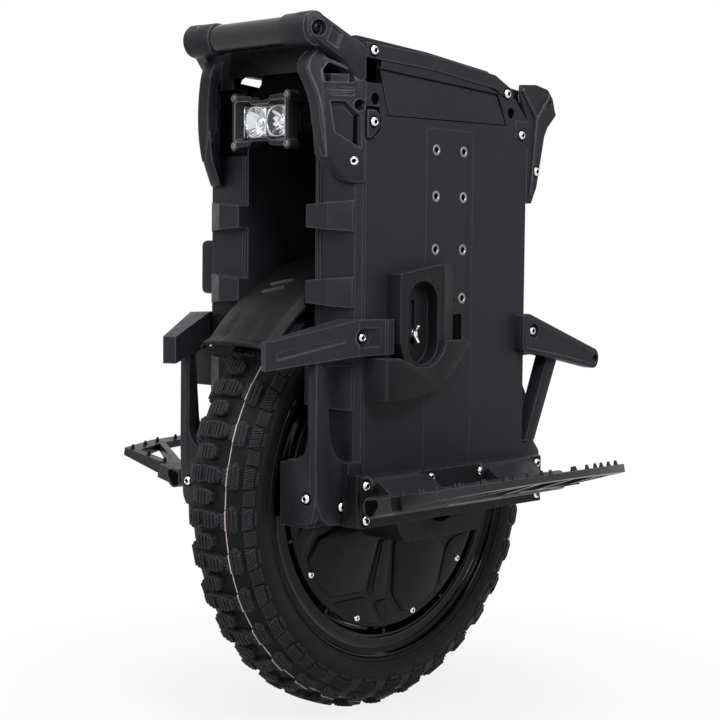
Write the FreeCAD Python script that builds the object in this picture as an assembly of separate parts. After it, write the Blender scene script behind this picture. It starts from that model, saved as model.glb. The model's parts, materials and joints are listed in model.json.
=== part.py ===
import FreeCAD, Part
import math
import os

V = FreeCAD.Vector

# Fits shared by every piece
OVERRUN = 6.0
SEAM = 0.3
FIT = 0.05
SLIDE_GAP = 0.4

# Tyre and rim
TYRE_R = 250.0
TREAD_DEPTH = 9.0
TYRE_HALF_WIDTH = 46.0
TYRE_WALL = 7.0
TREAD_PITCHES = 33
WIDE_BLOCK_HALF = 22.0
NARROW_BLOCK_HALF = 12.0
SHOULDER_BLOCK_IN = 27.0
TYRE_HEIGHT = 62.0
RIM_HALF_WIDTH = 40.0
RIM_FLANGE_THICK = 4.0
RIM_WELL_DEPTH = 9.0
RIM_BEVEL = 4.0
BEAD_WIDTH = 10.0

# Hub motor
COVER_INSET = 31.0
COVER_THICK = 6.0
COVER_FACE_X = 36.0
COVER_BOSS_R = 38.0
COVER_BOSS_OUT = 8.0
COVER_PAD_RISE = 2.0
COVER_PADS = 5
MOTOR_WALL = 13.0
MAGNET_THICK = 7.0
MAGNET_HALF = 22.0
AIR_GAP = 1.0
STATOR_HALF = 20.0
STATOR_SLOTS = 36
STATOR_RING = 30.0
STATOR_HUB_R = 34.0
STATOR_SPOKES = 6
SPOKE_WIDTH = 22.0
COVER_SCREWS = 10
COVER_SCREW_INSET = 7.6
COVER_SCREW_PHASE = -56.9
COVER_SCREW_HEAD_R = 4.0
COVER_SCREW_HEAD_H = 2.6
COVER_SCREW_R = 2.5
COVER_SCREW_LENGTH = 14.0
BEARING_R = 31.0
BEARING_WIDTH = 16.0
BEARING_LIP = 2.0
AXLE_R = 15.0
AXLE_INSET = 5.0
AXLE_NUT_R = 25.0
AXLE_NUT_THICK = 12.0

# Battery boxes and side panels
CHANNEL_ROOM = 6.0
BOX_OUTER_X = 115.0
BOX_HALF_LENGTH = 138.0
BOX_ABOVE_AXLE = 48.0
BOX_HEIGHT = 357.0
BOX_WALL = 3.0
BOX_CORNER = 6.0
STEP_OUT = 14.0
STEP_SLANT = 4.0
PACK_ROOM = 1.0
PANEL_THICK = 3.0
PANEL_INSET = 6.3
PANEL_DROP = 14.0
SHOULDER_RISE = 32.0
REAR_CORNER = 22.0
SHOULDER_HOLE_R = 6.5
STRIP_HALF = 38.0
STRIP_TOP_DROP = 9.0
INSERT_COLUMN = 22.55
INSERT_TOP_DROP = 31.0
INSERT_RUN = 158.6
INSERT_FLANGE_R = 6.0
INSERT_FLANGE_THICK = 1.2
INSERT_BARREL_R = 4.5
INSERT_BORE_R = 3.0
INSERT_SINK = 0.8
SLOT_WIDTH = 15.0
SLOT_HEIGHT = 28.0

# Top deck, rails and controller
RAIL_WIDTH = 12.0
DECK_FRONT_INSET = 3.0
DECK_REAR_INSET = 7.0
DECK_RISE = 80.0
DECK_FALL = 36.0
DECK_DEPTH = 20.0
DECK_BEAM = 28.0
DECK_WALL = 4.0
DECK_LEG_WIDTH = 24.0
DECK_LEG_DEPTH = 8.0
RIDGE_COUNT = 5
RIDGE_HEIGHT = 3.0
RIDGE_PITCH = 19.0
RIDGE_LENGTH = 13.0
RIDGE_INSET = 22.0
RAIL_DEPTH = 15.0
RECESS_THICK = 5.5
RECESS_HEIGHT = 48.7
SINK_HEIGHT = 29.0
SINK_INSET = 20.0
SINK_WALL = 4.0
SINK_FINS = 9
SINK_FIN_HEIGHT = 4.0
SINK_FIN_THICK = 3.0
BOARD_THICK = 2.0
BOARD_MARGIN = 6.0
CAPACITOR_R = 7.0
CAPACITOR_HEIGHT = 14.0
CAPACITORS = 6
BUTTON_R = 9.0
BUTTON_HEIGHT = 9.0
BUTTON_TRAVEL = 2.0
BUTTON_PROUD = 2.6
BUTTON_INSET = 40.0
BUTTON_BOSS_WALL = 4.0
PORT_R = 11.0
PORT_DEPTH = 9.0
TAIL_HALF_WIDTH = 40.0
TAIL_HEIGHT = 13.0
TAIL_DEPTH = 7.0

# Corner guards and bars
GUARD_OUT = 0.6
GUARD_THICK = 15.0
GUARD_REACH = 45.0
GUARD_HEIGHT = 136.0
GUARD_DROP = 69.0
HORN_INSET = 39.0
HORN_WIDTH = 15.0
GUARD_HOLE_R = 5.5
TAB_LENGTH = 20.0
TAB_HEIGHT = 31.0
TAB_DROP = 7.5
TAB_CORNER = 9.0
BAR_R = 15.0
SLEEVE_LENGTH = 43.6
BAR_OUT = 42.0
BAR_RISE = 83.7
BAR_SPIGOT_R = 11.0
BAR_SPIGOT = 26.0
SLEEVE_R = 17.0
SLEEVE_INSET = 18.0
SLEEVE_POCKET_R = 8.0
SLEEVE_POCKET = 9.0
ARM_DEPTH = 20.0
REAR_GUARD_LENGTH = 54.0
REAR_GUARD_HEIGHT = 134.5
REAR_GUARD_DROP = 83.5
REAR_BAR_R = 10.0
REAR_BAR_OUT = 31.0
REAR_BAR_RISE = 33.0

# Fenders
FENDER_GAP = 14.0
FENDER_WALL = 3.0
FENDER_EDGE_DROP = 17.0
FENDER_FRONT_DEG = 49.5
FENDER_BACK_DEG = 12.0
FENDER_LIP_DEG = 3.0
FENDER_LIP = 4.0
SPLASH_WALL = 4.0
SPLASH_INSET = 20.0

# Bumpers at the four corners
BUMPER_THICK = 13.0
BUMPER_ARM = 51.5
BUMPER_KNEE_OUT = 14.0
BUMPER_NOSE = 75.0
BUMPER_TIP_INSET = 31.0
BUMPER_ABOVE_AXLE = 159.0
BUMPER_HEIGHT = 37.0
BUMPER_DIP = 14.5
STRUT_INSET = 16.0
STRUT_THICK = 12.0
STRUT_OUT = 50.0
STRUT_WIDTH = 26.0
FOOT_LENGTH = 34.0
FOOT_THICK = 7.0
FOOT_HEIGHT = 60.0
BUMPER_BOLT_INSET = 7.5
BUMPER_BOLT_SINK = 5.0
BUMPER_SCOOP_R = 10.0
REAR_ARM_LAP = 34.4
REAR_ARM_NOSE = 98.0
REAR_ARM_FLAT = 8.0
REAR_TIP_HEIGHT = 23.0
REAR_TIP_DROP = 30.0
REAR_TIP_FLAT = 16.0
REAR_STRUT_OUT = 6.0
REAR_STRUT_WIDTH = 18.0
REAR_STRUT_THICK = 8.0
REAR_STRUT_HEAD = 12.0
REAR_STRUT_LEAN = 42.0

# Axle hangers
HANGER_OUT = 10.0
HANGER_OVER = 12.0
HANGER_NOSE_INSET = 2.0
HANGER_BELOW_AXLE = 18.0
HANGER_PLATE = 11.0
HANGER_WALL = 7.0
HANGER_BOSS_R = 34.0
BELLY_HALF = 76.0
BELLY_DROP = 26.0
BELLY_CHAMFER = 16.0

# Pedals
BRACKET_THICK = 4.0
BRACKET_HEIGHT = 52.0
HINGE_OUT = 21.4
HINGE_ABOVE_AXLE = 7.2
KNUCKLE_R = 11.0
KNUCKLE_INNER = 48.0
KNUCKLE_INSET = 22.0
KNUCKLE_GAP = 1.0
PIN_R = 5.0
PEDAL_OVER = 7.0
PEDAL_TILT = 11.9
PEDAL_REACH = 117.0
PEDAL_CORNER_REACH = 92.0
PEDAL_INNER = 15.0
PEDAL_ROOT_THICK = 16.0
PEDAL_TIP_THICK = 7.0
PEDAL_FRAME = 13.0
PEDAL_RIB = 9.0
PEDAL_RIBS = 5
SPIKE_R = 2.6
SPIKE_HEIGHT = 5.0
BOLT_NEAR = 41.6
BOLT_INSET = 8.1
BOLT_ROW = 17.8

# Leg pads and wing screws
PAD_RISE = 19.0
PAD_ROOM = 3.0
PAD_REAR = 3.0
PAD_BOTTOM_ABOVE_AXLE = 160.0
PAD_HEIGHT = 92.0
POCKET_R = 23.3
POCKET_INSET = 35.0
POCKET_LOW_ABOVE_AXLE = 170.5
POCKET_RUN = 41.0
POCKET_FLOOR = 4.0
POCKET_RIM = 9.5
HOOK_RISE = 32.0
HOOK_HEIGHT = 44.0
HOOK_TOP_ABOVE_AXLE = 152.5
HOOK_TIP = 9.0
HOOK_TIP_RISE = 15.5
HOOK_FLARE = 13.0
WING_SHANK_R = 3.0
WING_HUB_R = 5.5
WING_HUB_LENGTH = 8.0
WING_SPAN = 13.0
WING_THICK = 2.4
WING_RISE = 9.0
WING_ABOVE_AXLE = 179.0

# Headlight
LIGHT_BELOW_BOX = 4.0
LIGHT_PIVOT_OUT = 5.0
LIGHT_FRONT_OUT = 32.0
LIGHT_BACK_IN = 9.0
LIGHT_HALF_WIDTH = 39.0
LIGHT_HALF_HEIGHT = 20.0
LIGHT_TAPER = 5.0
LIGHT_FINS = 4
LIGHT_FIN_GROOVE = 2.2
LIGHT_FIN_DEPTH = 2.5
BEZEL_HALF_WIDTH = 48.0
BEZEL_HALF_HEIGHT = 28.0
BEZEL_DEPTH = 10.0
BEZEL_WINDOW_HALF = 36.0
BEZEL_WINDOW_RISE = 18.5
LENS_THICK = 3.0
LENS_SINK = 3.0
REFLECTOR_R = 16.5
REFLECTOR_BACK_R = 6.0
REFLECTOR_DEPTH = 15.0
REFLECTOR_WALL = 1.2
REFLECTOR_OFFSET = 18.5
PIVOT_R = 4.0
PIVOT_GAP = 1.5
LIGHT_PLATE = 3.0
LIGHT_PLATE_HALF_HEIGHT = 11.0

# Button screws
SCREW_HEAD_R = 5.2
SCREW_HEAD_H = 3.0
SCREW_R = 3.0
SCREW_LENGTH = 10.0
SCREW_SOCKET_R = 2.2
SCREW_SOCKET = 1.8

# Outline tables, as shares of the piece that carries them
TYRE_SHOULDER_SHARES = (0.80, 0.935)
TYRE_BULGE_SHARE = 0.46
BLOCK_SHARE = 0.36
SHOULDER_BLOCK_SHARE = 0.62
SHOULDER_SLOPE_SHARES = ((1.0, 0.95), (0.99, 0.62), (0.97, 0.30))
COVER_PAD_SHARES = ((0.34, -0.5), (0.52, -0.74), (0.84, -0.62), (0.84, 0.62), (0.52, 0.74), (0.34, 0.5))
STEP_PLACE_SHARES = (0.215, 0.49, 0.71)
STEP_HEIGHT_SHARES = (0.11, 0.066, 0.066)
DECK_TOP_SHARES = ((0.0, 1.0), (0.41, 0.79), (0.79, 0.47), (0.905, 0.08), (1.0, 0.0))
RECESS_SHARES = ((0.08, 1.0), (0.803, 0.645), (0.859, 0.038), (0.126, 0.0))
INSERT_ROW_SHARES = (0.0, 0.31, 0.668, 1.0)
HORN_SHARES = (
    (0.0, 0.0), (0.378, 0.0), (0.756, 0.235), (0.956, 0.471), (1.0, 0.809), (0.711, 0.926), (0.0, 1.0),
)
WINDOW_SHARES = ((0.40, 0.70), (0.29, 0.79), (0.70, 0.87), (0.92, 0.78), (0.84, 0.67))
GUARD_HOLE_SHARES = (0.2, 0.55)
REAR_GUARD_SHARES = (
    (0.0, 0.0), (0.17, 0.0), (0.35, 0.14), (0.59, 0.57), (0.70, 0.65), (0.98, 0.76), (0.86, 0.90),
    (0.69, 0.97), (0.28, 1.0), (-0.22, 0.985), (-0.24, 0.91), (0.0, 0.72),
)
HOOK_CURVE_SHARES = ((0.26, -0.06), (0.70, 0.22))
WING_SHARES = ((0.25, 0.0), (1.0, 0.55), (0.85, 1.0), (0.30, 0.45))
BEZEL_SHARES = (
    (1.0, 0.62), (1.0, 1.0), (0.80, 1.0), (0.74, 0.88), (0.38, 0.88), (0.28, 0.70),
)
SPIKE_ROW_SHARES = (-0.8, -0.4, 0.0, 0.4, 0.8)

# Places worked out from the sizes above
AXLE_Z = TYRE_R
CARCASS_R = TYRE_R - TREAD_DEPTH
RIM_FLANGE_R = TYRE_R - TYRE_HEIGHT
RIM_WELL_R = RIM_FLANGE_R - RIM_WELL_DEPTH
COVER_R = RIM_FLANGE_R - COVER_INSET
COVER_SCREW_CIRCLE_R = COVER_R - COVER_SCREW_INSET
MOTOR_BORE_R = COVER_R - MOTOR_WALL
MAGNET_IN_R = MOTOR_BORE_R - MAGNET_THICK
STATOR_R = MAGNET_IN_R - AIR_GAP
MOTOR_HALF = COVER_FACE_X - COVER_THICK
BEARING_OUT_X = COVER_FACE_X + COVER_BOSS_OUT - BEARING_LIP
AXLE_HALF = BOX_OUTER_X - AXLE_INSET
CHANNEL_HALF = TYRE_HALF_WIDTH + CHANNEL_ROOM
BOX_BOTTOM_Z = AXLE_Z + BOX_ABOVE_AXLE
BOX_TOP_Z = BOX_BOTTOM_Z + BOX_HEIGHT
PANEL_X = BOX_OUTER_X + PANEL_THICK
PANEL_HALF_LENGTH = BOX_HALF_LENGTH - PANEL_INSET
PANEL_BOTTOM_Z = BOX_BOTTOM_Z - PANEL_DROP
SHOULDER_Z = BOX_TOP_Z + SHOULDER_RISE
INSERT_TOP_Z = BOX_TOP_Z - INSERT_TOP_DROP
SINK_TOP_Z = BOX_TOP_Z + SINK_HEIGHT
SINK_HALF_WIDTH = PANEL_X - RECESS_THICK
SINK_HALF_LENGTH = BOX_HALF_LENGTH - SINK_INSET
DECK_HALF_WIDTH = PANEL_X - RAIL_WIDTH
DECK_FRONT = BOX_HALF_LENGTH - DECK_FRONT_INSET
DECK_REAR = BOX_HALF_LENGTH - DECK_REAR_INSET
DECK_TOP_Z = BOX_TOP_Z + DECK_RISE
DECK_LENGTH = DECK_FRONT + DECK_REAR
RIDGE_HALF_WIDTH = DECK_HALF_WIDTH - RIDGE_INSET
BUTTON_BACK = DECK_FRONT - BUTTON_INSET
GUARD_X = PANEL_X + GUARD_OUT
GUARD_IN_X = GUARD_X - GUARD_THICK
GUARD_BOTTOM_Z = BOX_TOP_Z - GUARD_DROP
GUARD_TOP_Z = GUARD_BOTTOM_Z + GUARD_HEIGHT
TAB_Z = BOX_TOP_Z - TAB_DROP
BAR_AHEAD = BOX_HALF_LENGTH + BAR_OUT
BAR_Z = BOX_TOP_Z + BAR_RISE
SLEEVE_END_X = BOX_OUTER_X - SLEEVE_INSET
BAR_HALF = SLEEVE_END_X - SLEEVE_LENGTH
REAR_BAR_BACK = BOX_HALF_LENGTH + REAR_BAR_OUT
REAR_BAR_Z = BOX_TOP_Z + REAR_BAR_RISE
SPLASH_BACK = BOX_HALF_LENGTH - SPLASH_INSET
BUMPER_X = PANEL_X + BUMPER_THICK
BUMPER_Z = AXLE_Z + BUMPER_ABOVE_AXLE
BUMPER_KNEE = BOX_HALF_LENGTH + BUMPER_KNEE_OUT
BUMPER_TIP = BUMPER_KNEE + BUMPER_NOSE
BUMPER_TIP_X = BOX_OUTER_X - BUMPER_TIP_INSET
BUMPER_REAR_END = BUMPER_KNEE - BUMPER_ARM
BUMPER_BOLT_BACK = BUMPER_KNEE - BUMPER_BOLT_INSET
STRUT_OUTER_X = BOX_OUTER_X - STRUT_INSET
STRUT_FRONT = BOX_HALF_LENGTH + STRUT_OUT
REAR_ARM_START = BUMPER_KNEE - REAR_ARM_LAP
REAR_ARM_TIP = BUMPER_KNEE + REAR_ARM_NOSE
REAR_STRUT_X = BOX_OUTER_X + REAR_STRUT_OUT
HANGER_X = PANEL_X + HANGER_OUT
HANGER_BOTTOM_Z = AXLE_Z - HANGER_BELOW_AXLE
HANGER_NOSE_X = STRUT_OUTER_X - FOOT_THICK
HANGER_HALF_LENGTH = BOX_HALF_LENGTH + HANGER_OVER
REAR_STRUT_FOOT = HANGER_HALF_LENGTH + SEAM
HANGER_FRONT = STRUT_FRONT - HANGER_NOSE_INSET
BRACKET_X = HANGER_X + BRACKET_THICK
BRACKET_HALF_LENGTH = HANGER_HALF_LENGTH
BRACKET_BOTTOM_Z = PANEL_BOTTOM_Z - BRACKET_HEIGHT
HINGE_X = BRACKET_X + HINGE_OUT
HINGE_Z = AXLE_Z + HINGE_ABOVE_AXLE
KNUCKLE_OUTER = BRACKET_HALF_LENGTH - KNUCKLE_INSET
PEDAL_HALF_LENGTH = BRACKET_HALF_LENGTH + PEDAL_OVER
BOLT_FAR = BRACKET_HALF_LENGTH - BOLT_INSET
BOLT_Z = PANEL_BOTTOM_Z - BRACKET_HEIGHT / 2
PAD_X = PANEL_X + SLIDE_GAP
PAD_FRONT = BUMPER_REAR_END - PAD_ROOM
PAD_BOTTOM_Z = AXLE_Z + PAD_BOTTOM_ABOVE_AXLE
POCKET_CENTRE = PAD_FRONT - POCKET_INSET
POCKET_LOW_Z = AXLE_Z + POCKET_LOW_ABOVE_AXLE
HOOK_TOP_Z = AXLE_Z + HOOK_TOP_ABOVE_AXLE
WING_Z = AXLE_Z + WING_ABOVE_AXLE
LIGHT_Z = BOX_TOP_Z - LIGHT_BELOW_BOX
LIGHT_PIVOT_AHEAD = BOX_HALF_LENGTH + LIGHT_PIVOT_OUT
LIGHT_FRONT_AHEAD = BOX_HALF_LENGTH + LIGHT_FRONT_OUT
LIGHT_BACK_AHEAD = BOX_HALF_LENGTH - LIGHT_BACK_IN
CROSS_AHEAD = SINK_HALF_LENGTH + 2 * SEAM


# Solids in the frame of the part
def block(x0, x1, y0, y1, z0, z1):
    return Part.makeBox(x1 - x0, y1 - y0, z1 - z0, V(x0, y0, z0))


def prism(points, travel):
    return Part.Face(Part.makePolygon(points + points[:1])).extrude(travel)


def prism_x(outline, x0, x1):
    return prism([V(x0, y, z) for y, z in outline], V(x1 - x0, 0, 0))


def prism_y(outline, y0, y1):
    return prism([V(x, y0, z) for x, z in outline], V(0, y1 - y0, 0))


def prism_z(outline, z0, z1):
    return prism([V(x, y, z0) for x, y in outline], V(0, 0, z1 - z0))


def rod_x(y, z, radius, x0, x1):
    return Part.makeCylinder(radius, x1 - x0, V(x0, y, z), V(1, 0, 0))


def rod_y(x, z, radius, y0, y1):
    return Part.makeCylinder(radius, y1 - y0, V(x, y0, z), V(0, 1, 0))


def rod_z(x, y, radius, z0, z1):
    return Part.makeCylinder(radius, z1 - z0, V(x, y, z0), V(0, 0, 1))


def ring_x(inner, outer, x0, x1):
    hole = rod_x(0, AXLE_Z, inner, x0 - OVERRUN, x1 + OVERRUN)
    return rod_x(0, AXLE_Z, outer, x0, x1).cut(hole)


def obround_x(y, z0, z1, radius, x0, x1):
    middle = block(x0, x1, y - radius, y + radius, z0, z1)
    return joined([middle, rod_x(y, z0, radius, x0, x1), rod_x(y, z1, radius, x0, x1)])


def joined(shapes):
    return shapes[0].multiFuse(shapes[1:]).removeSplitter()


def placed(shares, y0, length, z0, height):
    return [(y0 + u * length, z0 + v * height) for u, v in shares]


def turned(section):
    points = [V(x, 0, AXLE_Z + r) for x, r in section]
    face = Part.Face(Part.makePolygon(points + points[:1]))
    return face.revolve(V(0, 0, AXLE_Z), V(1, 0, 0), 360)


def about_axle(shape, degrees):
    turned_shape = shape.copy()
    turned_shape.rotate(V(0, 0, AXLE_Z), V(1, 0, 0), degrees)
    return turned_shape


def other_side(shape):
    return shape.mirror(V(0, 0, 0), V(1, 0, 0))


def to_rear(shape):
    return shape.mirror(V(0, 0, 0), V(0, 1, 0))


def both_sides(shapes):
    return shapes + [other_side(shape) for shape in shapes]


def save(name, shape):
    shape.exportStep(f"parts/{name}.step")


# Button screws: head on the outer face, shank going in along the given direction
def button_screw(seat, inward):
    head = Part.makeCylinder(SCREW_HEAD_R, SCREW_HEAD_H, seat, inward * -1)
    shank = Part.makeCylinder(SCREW_R, SCREW_LENGTH, seat, inward)
    top = seat - inward * SCREW_HEAD_H
    socket = Part.makeCylinder(SCREW_SOCKET_R, SCREW_SOCKET, top, inward)
    return joined([head, shank]).cut(socket)


def screw_hole(seat, inward):
    return Part.makeCylinder(SCREW_R + FIT, SCREW_LENGTH + OVERRUN, seat, inward)


def drilled(shape, seats, inward):
    return shape.cut([screw_hole(seat, inward) for seat in seats])


# Wheel
def section_arc(start, middle, end):
    corners = [V(x, 0, AXLE_Z + r) for x, r in (start, middle, end)]
    return Part.Arc(*corners).toShape()


def section_line(start, end):
    return Part.LineSegment(V(start[0], 0, AXLE_Z + start[1]), V(end[0], 0, AXLE_Z + end[1])).toShape()


def half_tyre(wall):
    """Bead, bulge, shoulder and crown points of one half section, moved in by the wall."""
    height = CARCASS_R - RIM_FLANGE_R
    bead = (RIM_HALF_WIDTH - RIM_FLANGE_THICK - SEAM, RIM_FLANGE_R + SEAM)
    bulge = (TYRE_HALF_WIDTH - wall, RIM_FLANGE_R + TYRE_BULGE_SHARE * height)
    shoulder_x, shoulder_r = TYRE_SHOULDER_SHARES
    shoulder = (shoulder_x * TYRE_HALF_WIDTH - wall, RIM_FLANGE_R + shoulder_r * height - wall)
    return bead, bulge, shoulder, (0, CARCASS_R - wall)


def flip(point):
    return (-point[0], point[1])


def tyre_carcass():
    bead, bulge, shoulder, crown = half_tyre(0)
    _, bulge_in, shoulder_in, crown_in = half_tyre(TYRE_WALL)
    heel = (bead[0], RIM_WELL_R + SEAM)
    toe = (bead[0] - BEAD_WIDTH, heel[1])
    neck = (toe[0], bead[1])
    edges = [
        section_arc(flip(bead), flip(bulge), flip(shoulder)),
        section_arc(flip(shoulder), crown, shoulder),
        section_arc(shoulder, bulge, bead),
        section_line(bead, heel),
        section_line(heel, toe),
        section_line(toe, neck),
        section_arc(neck, bulge_in, shoulder_in),
        section_arc(shoulder_in, crown_in, flip(shoulder_in)),
        section_arc(flip(shoulder_in), flip(bulge_in), flip(neck)),
        section_line(flip(neck), flip(toe)),
        section_line(flip(toe), flip(heel)),
        section_line(flip(heel), flip(bead)),
    ]
    return Part.Face(Part.Wire(edges)).revolve(V(0, 0, AXLE_Z), V(1, 0, 0), 360)


def toothed_ring(x0, x1, root_r, share, phase_share):
    """A ring with one tooth per tread pitch, each tooth flat at the tyre's radius."""
    pitch = 2 * math.pi / TREAD_PITCHES
    half = share * pitch / 2
    tip_r = TYRE_R / math.cos(half)
    points = []
    for tooth in range(TREAD_PITCHES):
        middle = (tooth + phase_share) * pitch - math.pi / 2
        for radius, angle in ((root_r, -half), (tip_r, -half), (tip_r, half), (root_r, half)):
            spoke = middle + angle
            points.append(V(x0, radius * math.cos(spoke), AXLE_Z + radius * math.sin(spoke)))
    teeth = Part.Face(Part.makePolygon(points + points[:1])).extrude(V(x1 - x0, 0, 0))
    return teeth.cut(rod_x(0, AXLE_Z, root_r - TYRE_WALL / 2, x0 - OVERRUN, x1 + OVERRUN))


def shoulder_blocks():
    reach = TYRE_R - RIM_FLANGE_R
    slope = [(u * TYRE_HALF_WIDTH, RIM_FLANGE_R + v * reach) for u, v in SHOULDER_SLOPE_SHARES]
    inner = SHOULDER_BLOCK_IN
    section = [(inner, CARCASS_R - TYRE_WALL / 2), (inner, TYRE_R - TREAD_DEPTH / 4)]
    section.append((WIDE_BLOCK_HALF + TREAD_DEPTH + SEAM, TYRE_R - TREAD_DEPTH / 3))
    envelope = turned(section + slope[1:])
    root = RIM_FLANGE_R + reach / 2
    return toothed_ring(inner, TYRE_HALF_WIDTH, root, SHOULDER_BLOCK_SHARE, 0.5).common(envelope)


def tyre():
    root = CARCASS_R - TREAD_DEPTH / 4
    wide = toothed_ring(-WIDE_BLOCK_HALF, WIDE_BLOCK_HALF, root, BLOCK_SHARE, 0.0)
    narrow = toothed_ring(-NARROW_BLOCK_HALF, NARROW_BLOCK_HALF, root, BLOCK_SHARE, 0.5)
    return joined([tyre_carcass(), wide, narrow] + both_sides([shoulder_blocks()]))


def rim():
    half = [
        (MOTOR_HALF, MOTOR_BORE_R),
        (MOTOR_HALF, COVER_R + FIT),
        (COVER_FACE_X, COVER_R + FIT),
        (COVER_FACE_X, RIM_WELL_R - RIM_WELL_DEPTH - RIM_BEVEL),
        (RIM_HALF_WIDTH, RIM_WELL_R - RIM_BEVEL),
        (RIM_HALF_WIDTH, RIM_FLANGE_R),
        (RIM_HALF_WIDTH - RIM_FLANGE_THICK, RIM_FLANGE_R),
        (RIM_HALF_WIDTH - RIM_FLANGE_THICK - SEAM, RIM_WELL_R),
    ]
    hoop = turned(half + [flip(point) for point in reversed(half)])
    return hoop.cut(both_sides(cover_screw_holes()))


def cover_screw_seats():
    angles = [math.radians(COVER_SCREW_PHASE + 360 * i / COVER_SCREWS) for i in range(COVER_SCREWS)]
    radius = COVER_SCREW_CIRCLE_R
    return [(radius * math.sin(a), AXLE_Z - radius * math.cos(a)) for a in angles]


def cover_screw_holes():
    start = COVER_FACE_X - COVER_SCREW_LENGTH
    end = COVER_FACE_X + OVERRUN
    return [rod_x(y, z, COVER_SCREW_R + FIT, start, end) for y, z in cover_screw_seats()]


def motor_cover_screws():
    screws = []
    for y, z in cover_screw_seats():
        head = rod_x(y, z, COVER_SCREW_HEAD_R, COVER_FACE_X, COVER_FACE_X + COVER_SCREW_HEAD_H)
        shank = rod_x(y, z, COVER_SCREW_R, COVER_FACE_X - COVER_SCREW_LENGTH, COVER_FACE_X)
        screws.append(joined([head, shank]))
    return Part.makeCompound(both_sides(screws))


def cover_pad():
    half_turn = math.pi / COVER_PADS
    points = []
    for radius_share, angle_share in COVER_PAD_SHARES:
        radius = radius_share * COVER_R
        angle = angle_share * half_turn
        points.append((radius * math.sin(angle), AXLE_Z + radius * math.cos(angle)))
    return prism_x(points, COVER_FACE_X - COVER_PAD_RISE, COVER_FACE_X + COVER_PAD_RISE)


def motor_cover_left():
    boss_out = COVER_FACE_X + COVER_BOSS_OUT
    boss_in = BEARING_OUT_X - BEARING_WIDTH
    disc = rod_x(0, AXLE_Z, COVER_R, MOTOR_HALF, COVER_FACE_X)
    boss = rod_x(0, AXLE_Z, COVER_BOSS_R, boss_in, boss_out)
    pads = [about_axle(cover_pad(), 360 * i / COVER_PADS) for i in range(COVER_PADS)]
    seat = rod_x(0, AXLE_Z, BEARING_R + FIT, boss_in - OVERRUN, BEARING_OUT_X)
    bore = rod_x(0, AXLE_Z, AXLE_R + BEARING_LIP, boss_in, boss_out + OVERRUN)
    return joined([disc, boss] + pads).cut([seat, bore] + cover_screw_holes())


def wheel_bearings():
    bearing = ring_x(AXLE_R + FIT, BEARING_R, BEARING_OUT_X - BEARING_WIDTH, BEARING_OUT_X)
    return Part.makeCompound(both_sides([bearing]))


def magnet_ring():
    return ring_x(MAGNET_IN_R, MOTOR_BORE_R - FIT, -MAGNET_HALF, MAGNET_HALF)


def stator():
    ring = ring_x(STATOR_R - STATOR_RING, STATOR_R, -STATOR_HALF, STATOR_HALF)
    slot_width = math.pi * STATOR_R / STATOR_SLOTS
    slot = block(
        -STATOR_HALF - OVERRUN, STATOR_HALF + OVERRUN, -slot_width / 2, slot_width / 2,
        AXLE_Z + STATOR_R - STATOR_RING / 2, AXLE_Z + STATOR_R + OVERRUN,
    )
    slots = [about_axle(slot, 360 * i / STATOR_SLOTS) for i in range(STATOR_SLOTS)]
    hub = ring_x(AXLE_R + FIT, STATOR_HUB_R, -STATOR_HALF, STATOR_HALF)
    spoke = block(
        -STATOR_HALF / 2, STATOR_HALF / 2, -SPOKE_WIDTH / 2, SPOKE_WIDTH / 2,
        AXLE_Z + (AXLE_R + STATOR_HUB_R) / 2, AXLE_Z + STATOR_R - STATOR_RING * 3 / 4,
    )
    spokes = [about_axle(spoke, 360 * i / STATOR_SPOKES) for i in range(STATOR_SPOKES)]
    return joined([ring.cut(slots), hub] + spokes)


def axle():
    return rod_x(0, AXLE_Z, AXLE_R, -AXLE_HALF, AXLE_HALF)


def axle_nuts():
    angles = [math.radians(60 * i) for i in range(6)]
    corners = [(AXLE_NUT_R * math.cos(a), AXLE_Z + AXLE_NUT_R * math.sin(a)) for a in angles]
    nut = prism_x(corners, AXLE_HALF - AXLE_NUT_THICK, AXLE_HALF)
    return Part.makeCompound(both_sides([nut.cut(rod_x(0, AXLE_Z, AXLE_R + FIT, 0, AXLE_HALF))]))


# Axle hangers
def hanger_outline(inset):
    front = HANGER_FRONT - inset
    half = HANGER_HALF_LENGTH - inset
    outer = HANGER_X - inset
    nose = HANGER_NOSE_X - inset
    inner = CHANNEL_HALF + inset
    quarter = [(inner, -front), (nose, -front), (nose, -half), (outer, -half)]
    return quarter + [(x, -y) for x, y in reversed(quarter)]


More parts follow.
